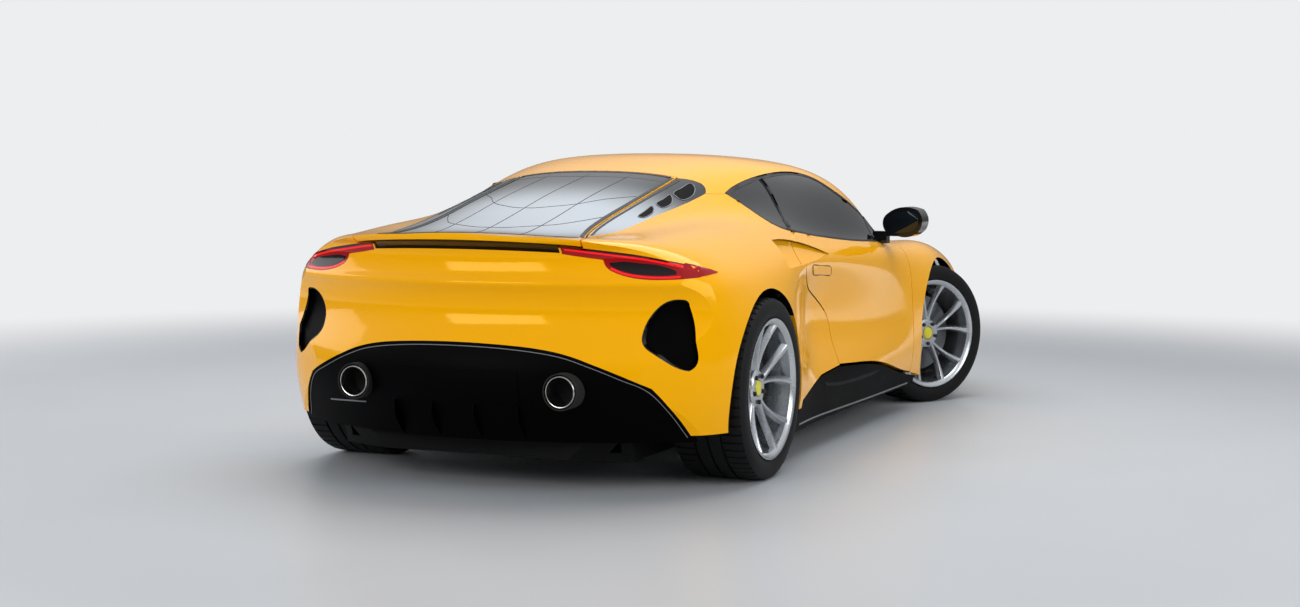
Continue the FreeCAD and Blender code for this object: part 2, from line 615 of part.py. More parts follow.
def sketch(owner, name, role, points):
    """Closed sketch of straight lines on an origin plane of a body; each corner is a pair of expressions."""
    plane = [f for f in owner.Origin.OriginFeatures if f.Role == role][0]
    drawing = owner.newObject("Sketcher::SketchObject", name)
    drawing.AttachmentSupport = [(plane, "")]
    drawing.MapMode = "FlatFace"
    places = [(value(a), value(b)) for a, b in points]
    count = len(places)
    for i, (a, b) in enumerate(places):
        c, d = places[(i + 1) % count]
        drawing.addGeometry(Part.LineSegment(Vector(a, b, 0), Vector(c, d, 0)), False)
    for i in range(count):
        drawing.addConstraint(Sketcher.Constraint("Coincident", i, 2, (i + 1) % count, 1))
    for i, (a, b) in enumerate(points):
        for kind, text, size in [("DistanceX", a, places[i][0]), ("DistanceY", b, places[i][1])]:
            number = drawing.addConstraint(Sketcher.Constraint(kind, -1, 1, i, 1, size))
            drawing.setExpression("Constraints[%d]" % number, text)
    return drawing


def turned(owner, name, points, kind="PartDesign::Revolution"):
    """Profile of (radius, width) corners turned about the Y axis of the body."""
    profile = sketch(owner, name + "_profile", "XY_Plane", points)
    feature = owner.newObject(kind, name)
    feature.Profile = profile
    feature.ReferenceAxis = (profile, ["V_Axis"])
    feature.Angle = 360
    return feature


def piece_body(name):
    """Empty body for one piece of the car."""
    owner = DOC.addObject("PartDesign::Body", name)
    owner.Label = name
    PIECES.append(owner)
    return owner


def bound_box(name, sizes, corner):
    """Box piece whose sizes and lowest corner follow the sheet."""
    piece = DOC.addObject("Part::Box", name)
    piece.Label = name
    for size, expression in zip(("Length", "Width", "Height"), sizes):
        piece.setExpression(size, expression)
    for axis, expression in zip("xyz", corner):
        piece.setExpression("Placement.Base." + axis, expression)
    PIECES.append(piece)


def placed(owner, x, y, z, turn):
    """Puts a piece with its own origin at a place, turned about the upright axis."""
    owner.Placement = Placement(Vector(x, y, z), Rotation(Vector(0, 0, 1), turn))


WHEELS = []
for end, axle, plane, radius in [("front", FRONT_AXLE, "front_wheel_y", "front_tyre_radius"),
                                 ("rear", REAR_AXLE, "rear_wheel_y", "rear_tyre_radius")]:
    for side, sign in [("left", 1), ("right", -1)]:
        steer = -dim("steer_rest") if end == "front" else 0.0
        offset = dim(plane) - dim("kingpin_y") if end == "front" else 0.0
        pivot = dim("kingpin_y") if end == "front" else dim(plane)
        angle = math.radians(steer)
        centre = Vector(axle - sign * offset * math.sin(angle), sign * (pivot + offset * math.cos(angle)),
                        dim(radius))
        WHEELS.append((end, side, sign, centre, steer + (0 if sign > 0 else 180)))


BORE = "dims.spindle_radius + dims.seat_clearance"


def add_tyre(end, side, centre, turn):
    """Tyre on the flanges of its rim, with upright sidewalls, bevelled shoulders and a flat tread."""
    owner = piece_body("tyre_%s_%s" % (end, side))
    r = "dims.%s_tyre_radius" % end
    w = "dims.%s_tyre_width / 2" % end
    bead = "dims.rim_radius + dims.seat_clearance"
    wall = "%s - dims.sidewall_set_in" % w
    half = [(bead, wall), (r + " - dims.shoulder_drop", wall), (r, wall + " - dims.shoulder_run")]
    other = [(a, "-(%s)" % b) for a, b in reversed(half)]
    turned(owner, "carcass_%s_%s" % (end, side), half + other)
    placed(owner, centre.x, centre.y, centre.z, turn)


def add_rim(end, side, centre, turn):
    """Cast rim: barrel with flanges, dished face of ten spokes in five pairs, and hub."""
    owner = piece_body("rim_%s_%s" % (end, side))
    tag = "_%s_%s" % (end, side)
    w = "(dims.%s_tyre_width / 2 - 2)" % end
    dish = 46 if end == "front" else 62
    turned(owner, "barrel" + tag, [
        ("dims.rim_seat_radius", "-(%s) + 16" % w), ("dims.rim_radius", "-(%s) + 14" % w),
        ("dims.rim_radius", "-(%s)" % w), ("dims.rim_seat_radius - dims.rim_wall", "-(%s)" % w),
        ("dims.rim_seat_radius - dims.rim_wall", w), ("dims.rim_radius", w),
        ("dims.rim_radius", "%s - 14" % w), ("dims.rim_seat_radius", "%s - 16" % w)])
    turned(owner, "hub" + tag, [(BORE, "dims.hub_face"), ("dims.hub_radius", "dims.hub_face"),
                                ("dims.hub_radius", "%s - dims.hub_recess" % w),
                                (BORE, "%s - dims.hub_recess" % w)])
    legs = []
    for lean in (-1, 1):
        inner = math.radians(9 * lean)
        outer = math.radians(18 * lean)
        foot = Vector(math.sin(inner), math.cos(inner), 0)
        tip = Vector(math.sin(outer), math.cos(outer), 0)
        r_tip = dim("rim_seat_radius") - dim("rim_wall") + 3
        r_foot = dim("hub_radius") - 14
        a = foot * r_foot
        b = tip * r_tip
        way = (b - a).normalize()
        over = Vector(-way.y, way.x, 0)
        legs.append([a + over * 13, b + over * 11, b - over * 11, a - over * 13])
    for number, corners in enumerate(legs):
        drawn = sketch(owner, "spoke%d" % number + tag, "XZ_Plane", [(str(round(p.x, 3)), str(round(p.y, 3)))
                                                                     for p in corners])
        pad = owner.newObject("PartDesign::Pad", "spoke_pad%d" % number + tag)
        pad.Profile = drawn
        pad.Reversed = True
        pad.Length = value("%s - 8" % w)
        DOC.recompute()
        pattern = owner.newObject("PartDesign::PolarPattern", "spokes%d" % number + tag)
        pattern.Originals = [pad]
        pattern.Axis = ([f for f in owner.Origin.OriginFeatures if f.Role == "Y_Axis"][0], [""])
        pattern.Angle = 360
        pattern.Occurrences = 5
        owner.Tip = pattern
        DOC.recompute()
    turned(owner, "dish" + tag, [
        ("0", "%s + 20" % w), ("dims.rim_seat_radius - dims.rim_wall - 0.5", "%s + 20" % w),
        ("dims.rim_seat_radius - dims.rim_wall - 0.5", "%s - 9" % w), ("205", "%s - 16" % w),
        ("140", "%s - %d" % (w, dish * 0.62)), ("dims.hub_radius + 8", "%s - %d" % (w, dish)),
        ("0", "%s - %d" % (w, dish))], "PartDesign::Groove")
    turned(owner, "back" + tag, [
        (BORE, "-2"), (BORE, "dims.hub_face"), ("dims.hub_radius", "dims.hub_face"),
        ("140", "%s - %d" % (w, dish * 0.62 + 44)),
        ("205", "%s - 62" % w), ("dims.rim_seat_radius - dims.rim_wall - 0.5", "%s - 52" % w),
        ("dims.rim_seat_radius - dims.rim_wall - 0.5", "-2")], "PartDesign::Groove")
    placed(owner, centre.x, centre.y, centre.z, turn)


def add_disc(end, side, centre, turn):
    """Brake disc with its hat, seated on the back of the hub."""
    owner = piece_body("disc_%s_%s" % (end, side))
    r = "dims.%s_disc_radius" % end
    hat = "dims.disc_hat_radius"
    face = "dims.hub_face - dims.seat_clearance"
    lining = face + " - dims.disc_hat_wall"
    outer = "dims.disc_thickness - dims.disc_set_back"
    turned(owner, "disc_ring_%s_%s" % (end, side), [
        (BORE, face), (hat, face), (hat, outer), (r, outer), (r, "-dims.disc_set_back"),
        (hat + " - dims.disc_hat_wall", "-dims.disc_set_back"), (hat + " - dims.disc_hat_wall", lining),
        (BORE, lining)])
    placed(owner, centre.x, centre.y, centre.z, turn)


BALL_PIN = 9


def ring_sector(r0, r1, y0, y1, middle, spread):
    """Sector of a ring about the Y axis, its middle at an angle from +X towards +Z."""
    ring = Part.makeCylinder(r1, y1 - y0, Vector(0, y0, 0), Vector(0, 1, 0), spread)
    ring = ring.cut(Part.makeCylinder(r0, y1 - y0, Vector(0, y0, 0), Vector(0, 1, 0), 360))
    start = ring.Solids[0].CenterOfMass
    now = math.degrees(math.atan2(start.z, start.x))
    ring.rotate(Vector(0, 0, 0), Vector(0, 1, 0), now - middle)
    return ring


def carrier(end, side, centre, turn):
    """Upright with its spindle, caliper and arm sockets in the wheel's own frame."""
    r = dim("%s_disc_radius" % end)
    t = dim("disc_thickness")
    spindle = Part.makeCylinder(dim("spindle_radius"), 70, Vector(0, -45, 0), Vector(0, 1, 0))
    housing = Part.makeCylinder(62, 45, Vector(0, -61, 0), Vector(0, 1, 0))
    sockets = Part.makeBox(56, 40, 270, Vector(-28, -65, -120))
    for low in (-121, 127):
        sockets = sockets.cut(Part.makeCylinder(BALL_PIN + dim("seat_clearance"), 24, Vector(0, -45, low)))
    toward = 180 if (end == "front") == (abs(turn) < 90) else 0
    caliper = ring_sector(r - 58, r + 22, -62, t + 10, toward, 62)
    slot = Part.makeCylinder(r + 6, t + 10, Vector(0, -15, 0), Vector(0, 1, 0))
    caliper = caliper.cut(slot)
    reach = 1 if toward == 0 else -1
    bracket = Part.makeBox(r - 30, 30, 90, Vector(0 if reach > 0 else -(r - 30), -61, -45))
    shape = spindle.fuse([housing, sockets, caliper, bracket]).removeSplitter()
    shape.Placement = Placement(centre, Rotation(Vector(0, 0, 1), turn))
    return shape


for end, side, sign, centre, turn in WHEELS:
    add_tyre(end, side, centre, turn)
    add_rim(end, side, centre, turn)
    add_disc(end, side, centre, turn)
DOC.recompute()
for end, side, sign, centre, turn in WHEELS:
    if end == "front":
        keep("knuckle_%s_%s" % (end, side), carrier(end, side, centre, turn))
keep("rear_uprights", Part.Compound([carrier(end, side, centre, turn)
                                     for end, side, sign, centre, turn in WHEELS if end == "rear"]))


FLOOR = dim("ground_clearance")
PAN = FLOOR + dim("frame_wall")
FRAME_TOP = 480
SILL_DEPTH = 10
door_room = both(layer(0, dim("door_wall") + GAP, side_prism(DOOR, OUTSIDE, -300, GAP)))


def inside(shape, cover=WALL):
    """What of a structural piece lies behind its cover, the doors and the wheel houses."""
    clear = shape.common(body(cover + dim("seat_clearance")))
    return clear.cut(arches[0]).cut(arches[1]).cut(door_room).removeSplitter()


tub = box(-640, 760, -860, 860, FLOOR, PAN)
tub = tub.fuse([box(-960, 740, -860, -700, FLOOR, 240), box(-960, 740, 700, 860, FLOOR, 240)])
for x in (-850, 620):
    for y in (-780, 780):
        foot = at(x, y, FLOOR)
        tub = tub.fuse(Part.makeCylinder(35, 10, foot - Vector(0, 0, 10)))
door_swing = box(420, 700, -900, -690, 186, 260)
tub = inside(tub, SILL_DEPTH + WALL).cut(both(door_swing))
keep("floor_tub", tub)

cowl = inside(box(720, 760, -950, 950, 200, 740).fuse(box(720, 760, -780, 780, PAN, 740))).cut(tub)
door_seat = side_prism(DOOR, OUTSIDE, -300, dim("seat_clearance"))
for z in (350, 570):
    lug = box(690, 745, -950, -770, z, z + 60).common(body(WALL + GAP)).cut(door_seat)
    cowl = cowl.fuse([lug, mirrored(lug)])
keep("bulkheads", Part.Compound([inside(box(-640, -600, -800, 800, PAN, 800)).cut(tub), cowl.removeSplitter()]))

rear_frame = box(-2000, -640, -600, 600, FLOOR, PAN)
rear_frame = rear_frame.fuse([box(-2000, -640, -600, -560, FLOOR, FRAME_TOP),
                              box(-2000, -640, 560, 600, FLOOR, FRAME_TOP),
                              box(-2000, -1960, -600, 600, FLOOR, FRAME_TOP)])
keep("rear_frame", inside(rear_frame).cut(tub))

front_frame = box(760, 1960, -450, 450, FLOOR, PAN)
front_frame = front_frame.fuse([box(760, 1960, -450, -410, FLOOR, FRAME_TOP),
                                box(760, 1960, 410, 450, FLOOR, FRAME_TOP),
                                box(1920, 1960, -450, 450, FLOOR, FRAME_TOP)])
front_frame = inside(front_frame)
for x, y in [(1010, 430), (1760, 430)]:
    for way in (-1, 1):
        stop = Part.makeCylinder(18, up(600), at(x, way * y, FLOOR))
        front_frame = front_frame.fuse(stop.common(body(WALL + dim("seat_clearance"))))
keep("front_frame", front_frame.removeSplitter())

PAN_TOP = "dims.ground_clearance + dims.frame_wall"
AXLE_LINE = "dims.rear_overhang - dims.overall_length / 2"
bound_box("engine_block", ("dims.engine_length", "dims.engine_width", "dims.engine_top - (%s)" % PAN_TOP),
          (AXLE_LINE + " + dims.engine_gap", "-dims.engine_width / 2", PAN_TOP))

splitter = side_prism(polygon([(1560, 112), (2500, 112), (2500, 160), (1560, 160)]), OUTSIDE, -OUTSIDE)
keep("front_splitter", splitter.common(body(4)).cut(body(WALL + 120)).cut(arches[0]).cut(front_frame))

sill = side_prism([[(-1030, 124), (790, 124)], [(790, 124), (790, 164)], [(790, 164), (655, 184)],
                   [(655, 184), (560, 199), (386, 235), (166, 278), (-100, 304), (-385, 322)],
                   [(-385, 322), (-660, 304)], [(-660, 304), (-985, 238)], [(-985, 238), (-1000, 196)],
                   [(-1000, 196), (-1030, 124)]], OUTSIDE, -300)
sill = sill.common(body(SILL_DEPTH)).cut(body(SILL_DEPTH + WALL)).cut(arches[0]).cut(arches[1])
keep("sill_blades", both(sill))

diffuser = layer(6, WALL, front_prism(DIFFUSER, -2600, -1700)).cut(both(Part.makeCylinder(
    dim("exhaust_radius") + dim("seat_clearance"), 900,
    Vector(TAIL_X - 100, dim("exhaust_y"), dim("exhaust_z")), Vector(1, 0, 0))))
diffuser = diffuser.cut(box(-2600, -1700, -900, 900, -10, 196))
keep("rear_diffuser", diffuser)

keep("front_grille", layer(20, 50, front_prism(GRILLE, 1500, 2500)).fuse(
    both(layer(20, 50, front_prism(SIDE_INTAKE, 1400, 2500))).Solids))

tips = []
for way in (-1, 1):
    mouth = Vector(TAIL_X + 42, way * dim("exhaust_y"), dim("exhaust_z"))
    tube = Part.makeCylinder(dim("exhaust_radius"), 150, mouth, Vector(1, 0, 0))
    bore = Part.makeCylinder(dim("exhaust_radius") - dim("exhaust_wall"), 140, mouth, Vector(1, 0, 0))
    tips.append(tube.cut(bore))
keep("exhaust_tips", Part.Compound(tips))

MIRROR_HEAD = [[(-900, 852), (-972, 850), (-1012, 880)], [(-1012, 880), (-1022, 930), (-1000, 971)],
               [(-1000, 971), (-900, 976), (-850, 945)], [(-850, 945), (-838, 895), (-858, 862), (-900, 852)]]
head = front_prism(MIRROR_HEAD, along(390), along(505))
stalk = Part.makeBox(46, 150, 22, at(455, -920, 846)).fuse(Part.makeBox(56, 60, 56, at(450, -838, 812)))
mirror = head.fuse(stalk).cut(body(0)).removeSplitter()
keep("mirror_right", mirror)
keep("mirror_left", mirrored(mirror))

SEAT = [[(190, 154.3), (200, 270)], [(200, 270), (150, 312), (-170, 288)], [(-170, 288), (-250, 330), (-300, 430)],
        [(-300, 430), (-420, 900)], [(-420, 900), (-470, 925), (-520, 900)], [(-520, 900), (-400, 300)],
        [(-400, 300), (-400, 154.3)], [(-400, 154.3), (190, 154.3)]]
half_seat = dim("seat_width") / 2
keep("seats", both(side_prism(SEAT, -dim("seat_y") - half_seat, -dim("seat_y") + half_seat)))

dash = side_prism([[(520, 600), (400, 640), (380, 720)], [(380, 720), (420, 780), (560, 790)],
                   [(560, 790), (720, 740)], [(720, 740), (720, 600)], [(720, 600), (520, 600)]], -680, 680)
dash = dash.common(body(dim("door_wall") + 50))
bound_box("centre_console", ("dims.console_length", "dims.console_width", "dims.console_top - (%s)" % PAN_TOP),
          (AXLE_LINE + " + dims.console_rear", "-dims.console_width / 2", PAN_TOP))

wheel_centre = at(270, 370, 690)
ring = Part.makeTorus(dim("steering_wheel_radius") - 14, 14)
spoke = Part.makeBox(2 * dim("steering_wheel_radius") - 28, 40, 14,
                     Vector(14 - dim("steering_wheel_radius"), -20, -7))
column = Part.makeCylinder(22, 150, Vector(0, 0, 0), Vector(0, 0, 1))
steering = ring.fuse([spoke, Part.makeCylinder(50, 30, Vector(0, 0, -15)), column]).removeSplitter()
steering.Placement = Placement(wheel_centre, Rotation(Vector(0, 1, 0), 68))
keep("steering_wheel", steering)
passage = Part.makeCylinder(22 + dim("seat_clearance"), 151, Vector(0, 0, 0), Vector(0, 0, 1))
passage.Placement = steering.Placement
keep("dashboard", dash.cut(passage))


def arm(inner_front, inner_rear, outer, radius, toward):
    """Wishbone: two tubes that meet at a boss with the pin that carries the upright."""
    pieces = [Part.makeCylinder(18, 28, outer - Vector(0, 0, 14))]
    pieces.append(Part.makeCylinder(BALL_PIN, 26, outer + Vector(0, 0, 14 if toward > 0 else -40)))
    for start in (inner_front, inner_rear):
        way = outer - start
        pieces.append(Part.makeCylinder(radius, way.Length, start, way))
    return pieces[0].fuse(pieces[1:]).removeSplitter()


arms = []
for end, axle, inboard, outboard in [("front", FRONT_AXLE, 454.5, dim("kingpin_y")),
                                     ("rear", REAR_AXLE, 607.5, dim("rear_wheel_y") - 45)]:
    hub = dim("%s_tyre_radius" % end)
    for level, toward in [(-140, 1), (170, -1)]:
        arms.append(arm(Vector(axle + 110, -inboard, hub + level), Vector(axle - 110, -inboard, hub + level),
                        Vector(axle, -outboard, hub + level), 12, toward))
keep("suspension_arms", both(Part.Compound(arms)))

DOC.recompute()
faults = [o.Name for o in DOC.Objects if "Invalid" in o.State or "Error" in o.State]
if faults:
    raise RuntimeError("failed objects: %s" % faults)

os.makedirs("parts", exist_ok=True)
for piece in PIECES:
    if piece.Shape.isNull() or not piece.Shape.isValid():
        raise RuntimeError("bad shape: %s" % piece.Label)
    piece.Shape.exportStep("parts/%s.step" % piece.Label)
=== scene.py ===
"""Looks of a mid-engined two-seat coupe, dressed round its packed construction."""
import json
import logging
import math
from collections.abc import Callable
from dataclasses import dataclass, field
from enum import Enum
from functools import partial

import bmesh
import bpy
from mathutils import Matrix, Vector
from mathutils.bvhtree import BVHTree


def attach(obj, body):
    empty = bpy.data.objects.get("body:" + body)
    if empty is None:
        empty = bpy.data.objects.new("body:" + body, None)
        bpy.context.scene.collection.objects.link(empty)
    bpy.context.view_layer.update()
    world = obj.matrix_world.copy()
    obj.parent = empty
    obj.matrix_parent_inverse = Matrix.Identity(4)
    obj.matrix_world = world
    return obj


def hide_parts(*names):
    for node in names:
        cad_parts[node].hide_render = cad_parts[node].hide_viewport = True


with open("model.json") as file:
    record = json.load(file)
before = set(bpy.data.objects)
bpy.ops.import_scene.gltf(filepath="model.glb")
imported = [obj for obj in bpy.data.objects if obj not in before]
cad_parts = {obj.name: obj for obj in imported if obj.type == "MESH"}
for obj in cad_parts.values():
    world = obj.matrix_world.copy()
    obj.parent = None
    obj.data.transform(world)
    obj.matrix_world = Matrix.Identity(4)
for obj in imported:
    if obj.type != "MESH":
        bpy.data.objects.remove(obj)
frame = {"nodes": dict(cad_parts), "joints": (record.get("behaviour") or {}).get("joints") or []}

LOG = logging.getLogger("coupe")
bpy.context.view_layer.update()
MM = 0.001
SHARP_EDGE = math.radians(32)
X_AXIS, Y_AXIS, Z_AXIS = Vector((1, 0, 0)), Vector((0, 1, 0)), Vector((0, 0, 1))
# Where panels show their lining: height of the car's middle, how far a face looks at it, and the x behind
# which paint stays yellow inside too, in metres.
CAR_MIDDLE_HEIGHT = 0.42
TURNED_IN = -0.12
TAIL_HOLLOW_X = -1.9
# Where the painted reflection on the panes runs from pale to dark, x in metres.
PAINTED_REFLECTION_PALE_X = -1.55
PAINTED_REFLECTION_DARK_X = -1.08
# Patches of uneven gloss for each metre.
BLOTCH_SCALE = 9.0
Drawn = list[tuple[float, float]]


def linear(hex_code: str) -> tuple[float, float, float, float]:
    """Turns an sRGB hex colour into Blender's linear one.

    Args:
        hex_code: colour such as "#FFC20A".

    Returns:
        Linear red, green, blue and an alpha of 1.
    """
    levels = [int(hex_code[i:i + 2], 16) / 255 for i in (1, 3, 5)]
    red, green, blue = [v / 12.92 if v <= 0.04045 else ((v + 0.055) / 1.055) ** 2.4 for v in levels]
    return red, green, blue, 1.0


def add_node(tree: bpy.types.NodeTree, kind: str, values: dict | None = None, links: dict | None = None,
             **settings: object) -> bpy.types.Node:
    """Adds one node to a node tree, sets it and links what feeds it.

    Args:
        tree: node tree that gets the node.
        kind: type name of the node.
        values: socket name or number to constant value.
        links: socket name or number to the output socket that feeds it.
        settings: properties of the node itself.

    Returns:
        The new node.
    """
    node = tree.nodes.new(kind)
    for key, setting in settings.items():
        setattr(node, key, setting)
    for key, value in (values or {}).items():
        node.inputs[key].default_value = value
    for key, source in (links or {}).items():
        tree.links.new(source, node.inputs[key])
    return node


class Grain(Enum):
    """What gives a surface its fine relief."""

    ORANGE_PEEL = "sprayed lacquer that has flowed out"
    CAST = "sand or die casting"
    MOULDED = "spark-eroded mould texture"
    HIDE = "tanned hide"
    TURNED = "rings left by turning"
    POLISHED = "none that the eye can see"


@dataclass(frozen=True)
class Finish:
    """One finish of the car, made as a Principled surface with fine relief and uneven gloss."""

    name: str
    colour: str
    roughness: float
    metallic: float = 0.0
    ior: float = 1.5
    coat: float = 0.0
    coat_roughness: float = 0.03
    coat_ior: float = 1.5
    specular: float = 0.5
    specular_tint: str = "#FFFFFF"
    transmission: float = 0.0
    glow: float = 0.0
    grain: Grain = Grain.POLISHED
    grain_mm: float = 1.0
    relief_mm: float = 0.0
    blotch: float = 0.04
    lining: str = ""
    # Colour of the painted dark reflection toward the front of a pane.
    painted_dark_reflection: str = ""

    def principled(self, tree: bpy.types.NodeTree) -> bpy.types.Node:
        """Adds the surface node with the constants of this finish."""
        return add_node(tree, "ShaderNodeBsdfPrincipled", {
            "Base Color": linear(self.colour), "Roughness": self.roughness, "Metallic": self.metallic,
            "IOR": self.ior, "Coat Weight": self.coat, "Coat Roughness": self.coat_roughness,
            "Coat IOR": self.coat_ior, "Specular IOR Level": self.specular,
            "Specular Tint": linear(self.specular_tint),
            "Transmission Weight": self.transmission, "Emission Color": linear(self.colour),
            "Emission Strength": self.glow})

    def height(self, tree: bpy.types.NodeTree, place: bpy.types.Node) -> bpy.types.NodeSocket:
        """Adds the pattern of the relief.

        Args:
            tree: node tree of the material.
            place: texture coordinate node.

        Returns:
            Socket that gives the height.
        """
        per_metre = 1.0 / (self.grain_mm * MM)
        vector = {"Vector": place.outputs["Object"]}
        if self.grain is Grain.HIDE:
            relief = add_node(tree, "ShaderNodeTexVoronoi", {"Scale": per_metre}, vector,
                              feature="DISTANCE_TO_EDGE")
            return relief.outputs["Distance"]
        if self.grain is Grain.TURNED:
            relief = add_node(tree, "ShaderNodeTexNoise", {
                "Scale": per_metre, "Detail": 1.0, "Distortion": 2.0}, vector)
            return relief.outputs["Fac"]
        relief = add_node(tree, "ShaderNodeTexNoise", {"Scale": per_metre, "Detail": 3.0}, vector)
        return relief.outputs["Fac"]

    def line_inside(self, tree: bpy.types.NodeTree, place: bpy.types.Node, surface: bpy.types.Node) -> None:
        """Gives the faces that look at the middle of the car their lining colour.

        Args:
            tree: node tree of the material.
            place: texture coordinate node.
            surface: Principled node that gets the colour.
        """
        axis = add_node(tree, "ShaderNodeVectorMath", {1: (0.0, 1.0, 1.0)}, {0: place.outputs["Object"]},
                        operation="MULTIPLY")
        out = add_node(tree, "ShaderNodeVectorMath", {1: (0.0, 0.0, CAR_MIDDLE_HEIGHT)},
                       {0: axis.outputs["Vector"]}, operation="SUBTRACT")
        facing = add_node(tree, "ShaderNodeVectorMath", links={
            0: out.outputs["Vector"], 1: place.outputs["Normal"]}, operation="DOT_PRODUCT")
        turned_in = add_node(tree, "ShaderNodeMath", {1: TURNED_IN}, {0: facing.outputs["Value"]},
                             operation="LESS_THAN")
        parts = add_node(tree, "ShaderNodeSeparateXYZ", links={0: place.outputs["Object"]})
        ahead_of_tail = add_node(tree, "ShaderNodeMath", {1: TAIL_HOLLOW_X}, {0: parts.outputs["X"]},
                                 operation="GREATER_THAN")
        inner = add_node(tree, "ShaderNodeMath", links={
            0: turned_in.outputs["Value"], 1: ahead_of_tail.outputs["Value"]}, operation="MULTIPLY")
        colour = add_node(tree, "ShaderNodeMix", {6: linear(self.colour), 7: linear(self.lining)},
                          {0: inner.outputs["Value"]}, data_type="RGBA")
        tree.links.new(colour.outputs[2], surface.inputs["Base Color"])

    def paint_dark_reflection(self, tree: bpy.types.NodeTree, place: bpy.types.Node, surface: bpy.types.Node) -> None:
        """Paints a dark reflection: lets the colour run into a darker one toward the front, where the pane
        mirrors something dark.

        Args:
            tree: node tree of the material.
            place: texture coordinate node.
            surface: Principled node that gets the colour.
        """
        parts = add_node(tree, "ShaderNodeSeparateXYZ", links={0: place.outputs["Object"]})
        ahead = add_node(tree, "ShaderNodeMapRange", {"From Min": PAINTED_REFLECTION_PALE_X, "From Max": PAINTED_REFLECTION_DARK_X},
                         {"Value": parts.outputs["X"]}, interpolation_type="SMOOTHSTEP")
        colour = add_node(tree, "ShaderNodeMix", {6: linear(self.colour), 7: linear(self.painted_dark_reflection)},
                          {0: ahead.outputs["Result"]}, data_type="RGBA")
        tree.links.new(colour.outputs[2], surface.inputs["Base Color"])

    def material(self) -> bpy.types.Material:
        """Gives the Blender material of this finish, made once."""
        made = bpy.data.materials.get(self.name)
        if made is None:
            made = bpy.data.materials.new(self.name)
            made.use_nodes = True
            tree = made.node_tree
            tree.nodes.clear()
            surface = self.principled(tree)
            place = add_node(tree, "ShaderNodeTexCoord")
            if self.relief_mm:
                bump = add_node(tree, "ShaderNodeBump", {"Strength": 1.0, "Distance": self.relief_mm * MM},
                                {"Height": self.height(tree, place)})
                tree.links.new(bump.outputs["Normal"], surface.inputs["Normal"])
            if self.lining:
                self.line_inside(tree, place, surface)
            # Painted dark reflection toward the front of the pane.
            if self.painted_dark_reflection:
                self.paint_dark_reflection(tree, place, surface)
            cloud = add_node(tree, "ShaderNodeTexNoise", {"Scale": BLOTCH_SCALE, "Detail": 4.0},
                             {"Vector": place.outputs["Object"]})
            uneven = add_node(tree, "ShaderNodeMapRange", {
                "To Min": max(self.roughness - self.blotch, 0.0), "To Max": self.roughness + self.blotch},
                {"Value": cloud.outputs["Fac"]})
            tree.links.new(uneven.outputs["Result"], surface.inputs["Roughness"])
            add_node(tree, "ShaderNodeOutputMaterial", links={"Surface": surface.outputs["BSDF"]})
        return made


# Solid yellow basecoat under clear lacquer: deep colour, yellow highlights, a faint orange peel.
PAINT = Finish("yellow_basecoat_lacquered", "#FFB400", 0.10, coat=0.2, coat_roughness=0.02, coat_ior=1.4,
               specular_tint="#FFC83C", grain=Grain.ORANGE_PEEL, grain_mm=6.0, relief_mm=0.02, blotch=0.02,
               lining="#141415")
# Piano black ABS, moulded and polished: nearly black with mirror highlights.
GLOSS_BLACK = Finish("abs_polished_black", "#060607", 0.07, specular=0.4, blotch=0.03)
# Textured black polypropylene, injection moulded: deep black, hardly any sheen, spark-eroded texture.
SATIN_BLACK = Finish("polypropylene_moulded_black", "#020203", 0.5, specular=0.03, grain=Grain.MOULDED,
                     grain_mm=1.4, relief_mm=0.05)
# Extruded rubber seal: dead black, dull.
SEAL = Finish("epdm_seal_extruded", "#070708", 0.62, grain=Grain.MOULDED, grain_mm=1.0, relief_mm=0.03)
# Vulcanised tyre rubber, moulded: black and dull.
RUBBER = Finish("tyre_rubber_moulded", "#0A0A0B", 0.62, specular=0.2, grain=Grain.MOULDED, grain_mm=2.0,
                relief_mm=0.08, blotch=0.1)
# Silver lacquer over cast aluminium: fine metallic, soft sheen.
SILVER = Finish("cast_aluminium_silver_lacquer", "#B4B8BC", 0.27, metallic=0.9, coat=0.5, coat_roughness=0.08,
                grain=Grain.ORANGE_PEEL, grain_mm=3.0, relief_mm=0.01)
# Grey cast iron, turned: faint rings, dull metallic.
CAST_IRON = Finish("cast_iron_turned", "#6E7073", 0.34, metallic=1.0, grain=Grain.TURNED, grain_mm=3.0,
                   relief_mm=0.04)
# Aluminium pressings and extrusions under black e-coat: dull, almost black.
E_COAT = Finish("aluminium_e_coated_black", "#050506", 0.55, specular=0.12, grain=Grain.CAST, grain_mm=2.5,
                relief_mm=0.03)
# Zinc-plated forged steel, dull grey.
FORGED = Finish("steel_forged_plated", "#3A3B3D", 0.5, metallic=0.8, grain=Grain.CAST, grain_mm=1.6,
                relief_mm=0.04)
# Tinted tempered glass: dark, smooth, with a strong mirror reflection.
TINTED_GLASS = Finish("tempered_glass_tinted", "#1B2024", 0.01, transmission=0.8, ior=1.45, blotch=0.01)
# Tinted glass whose colour is a painted reflection: pale, and darker toward the roof.
PAINTED_REFLECTION_GLASS = Finish("tempered_glass_painted_reflection", "#DCE4EC", 0.02, metallic=0.85, blotch=0.01,
                      painted_dark_reflection="#2A3035")
# Silvered and dipped mirror glass: a dark reflection.
SILVERED = Finish("mirror_glass_silvered", "#3A4149", 0.02, metallic=1.0, blotch=0.01)
# Red acrylic lens: deep red, wet gloss.
RED_LENS = Finish("acrylic_red_lens", "#9C0308", 0.06, specular=0.3, glow=0.04, blotch=0.02)
# Red light guide on the lens, faintly lit.
RED_GUIDE = Finish("acrylic_light_guide_red", "#F0161C", 0.15, specular=0.3, glow=0.3, blotch=0.02)
# Smoked acrylic over the lamp's middle: almost black, with a red tinge.
SMOKED_LENS = Finish("acrylic_smoked_lens", "#140305", 0.05, specular=0.3, blotch=0.02)
# Clear polycarbonate.
CLEAR_LENS = Finish("polycarbonate_clear", "#E4E9EE", 0.02, transmission=0.95, ior=1.5, blotch=0.01)
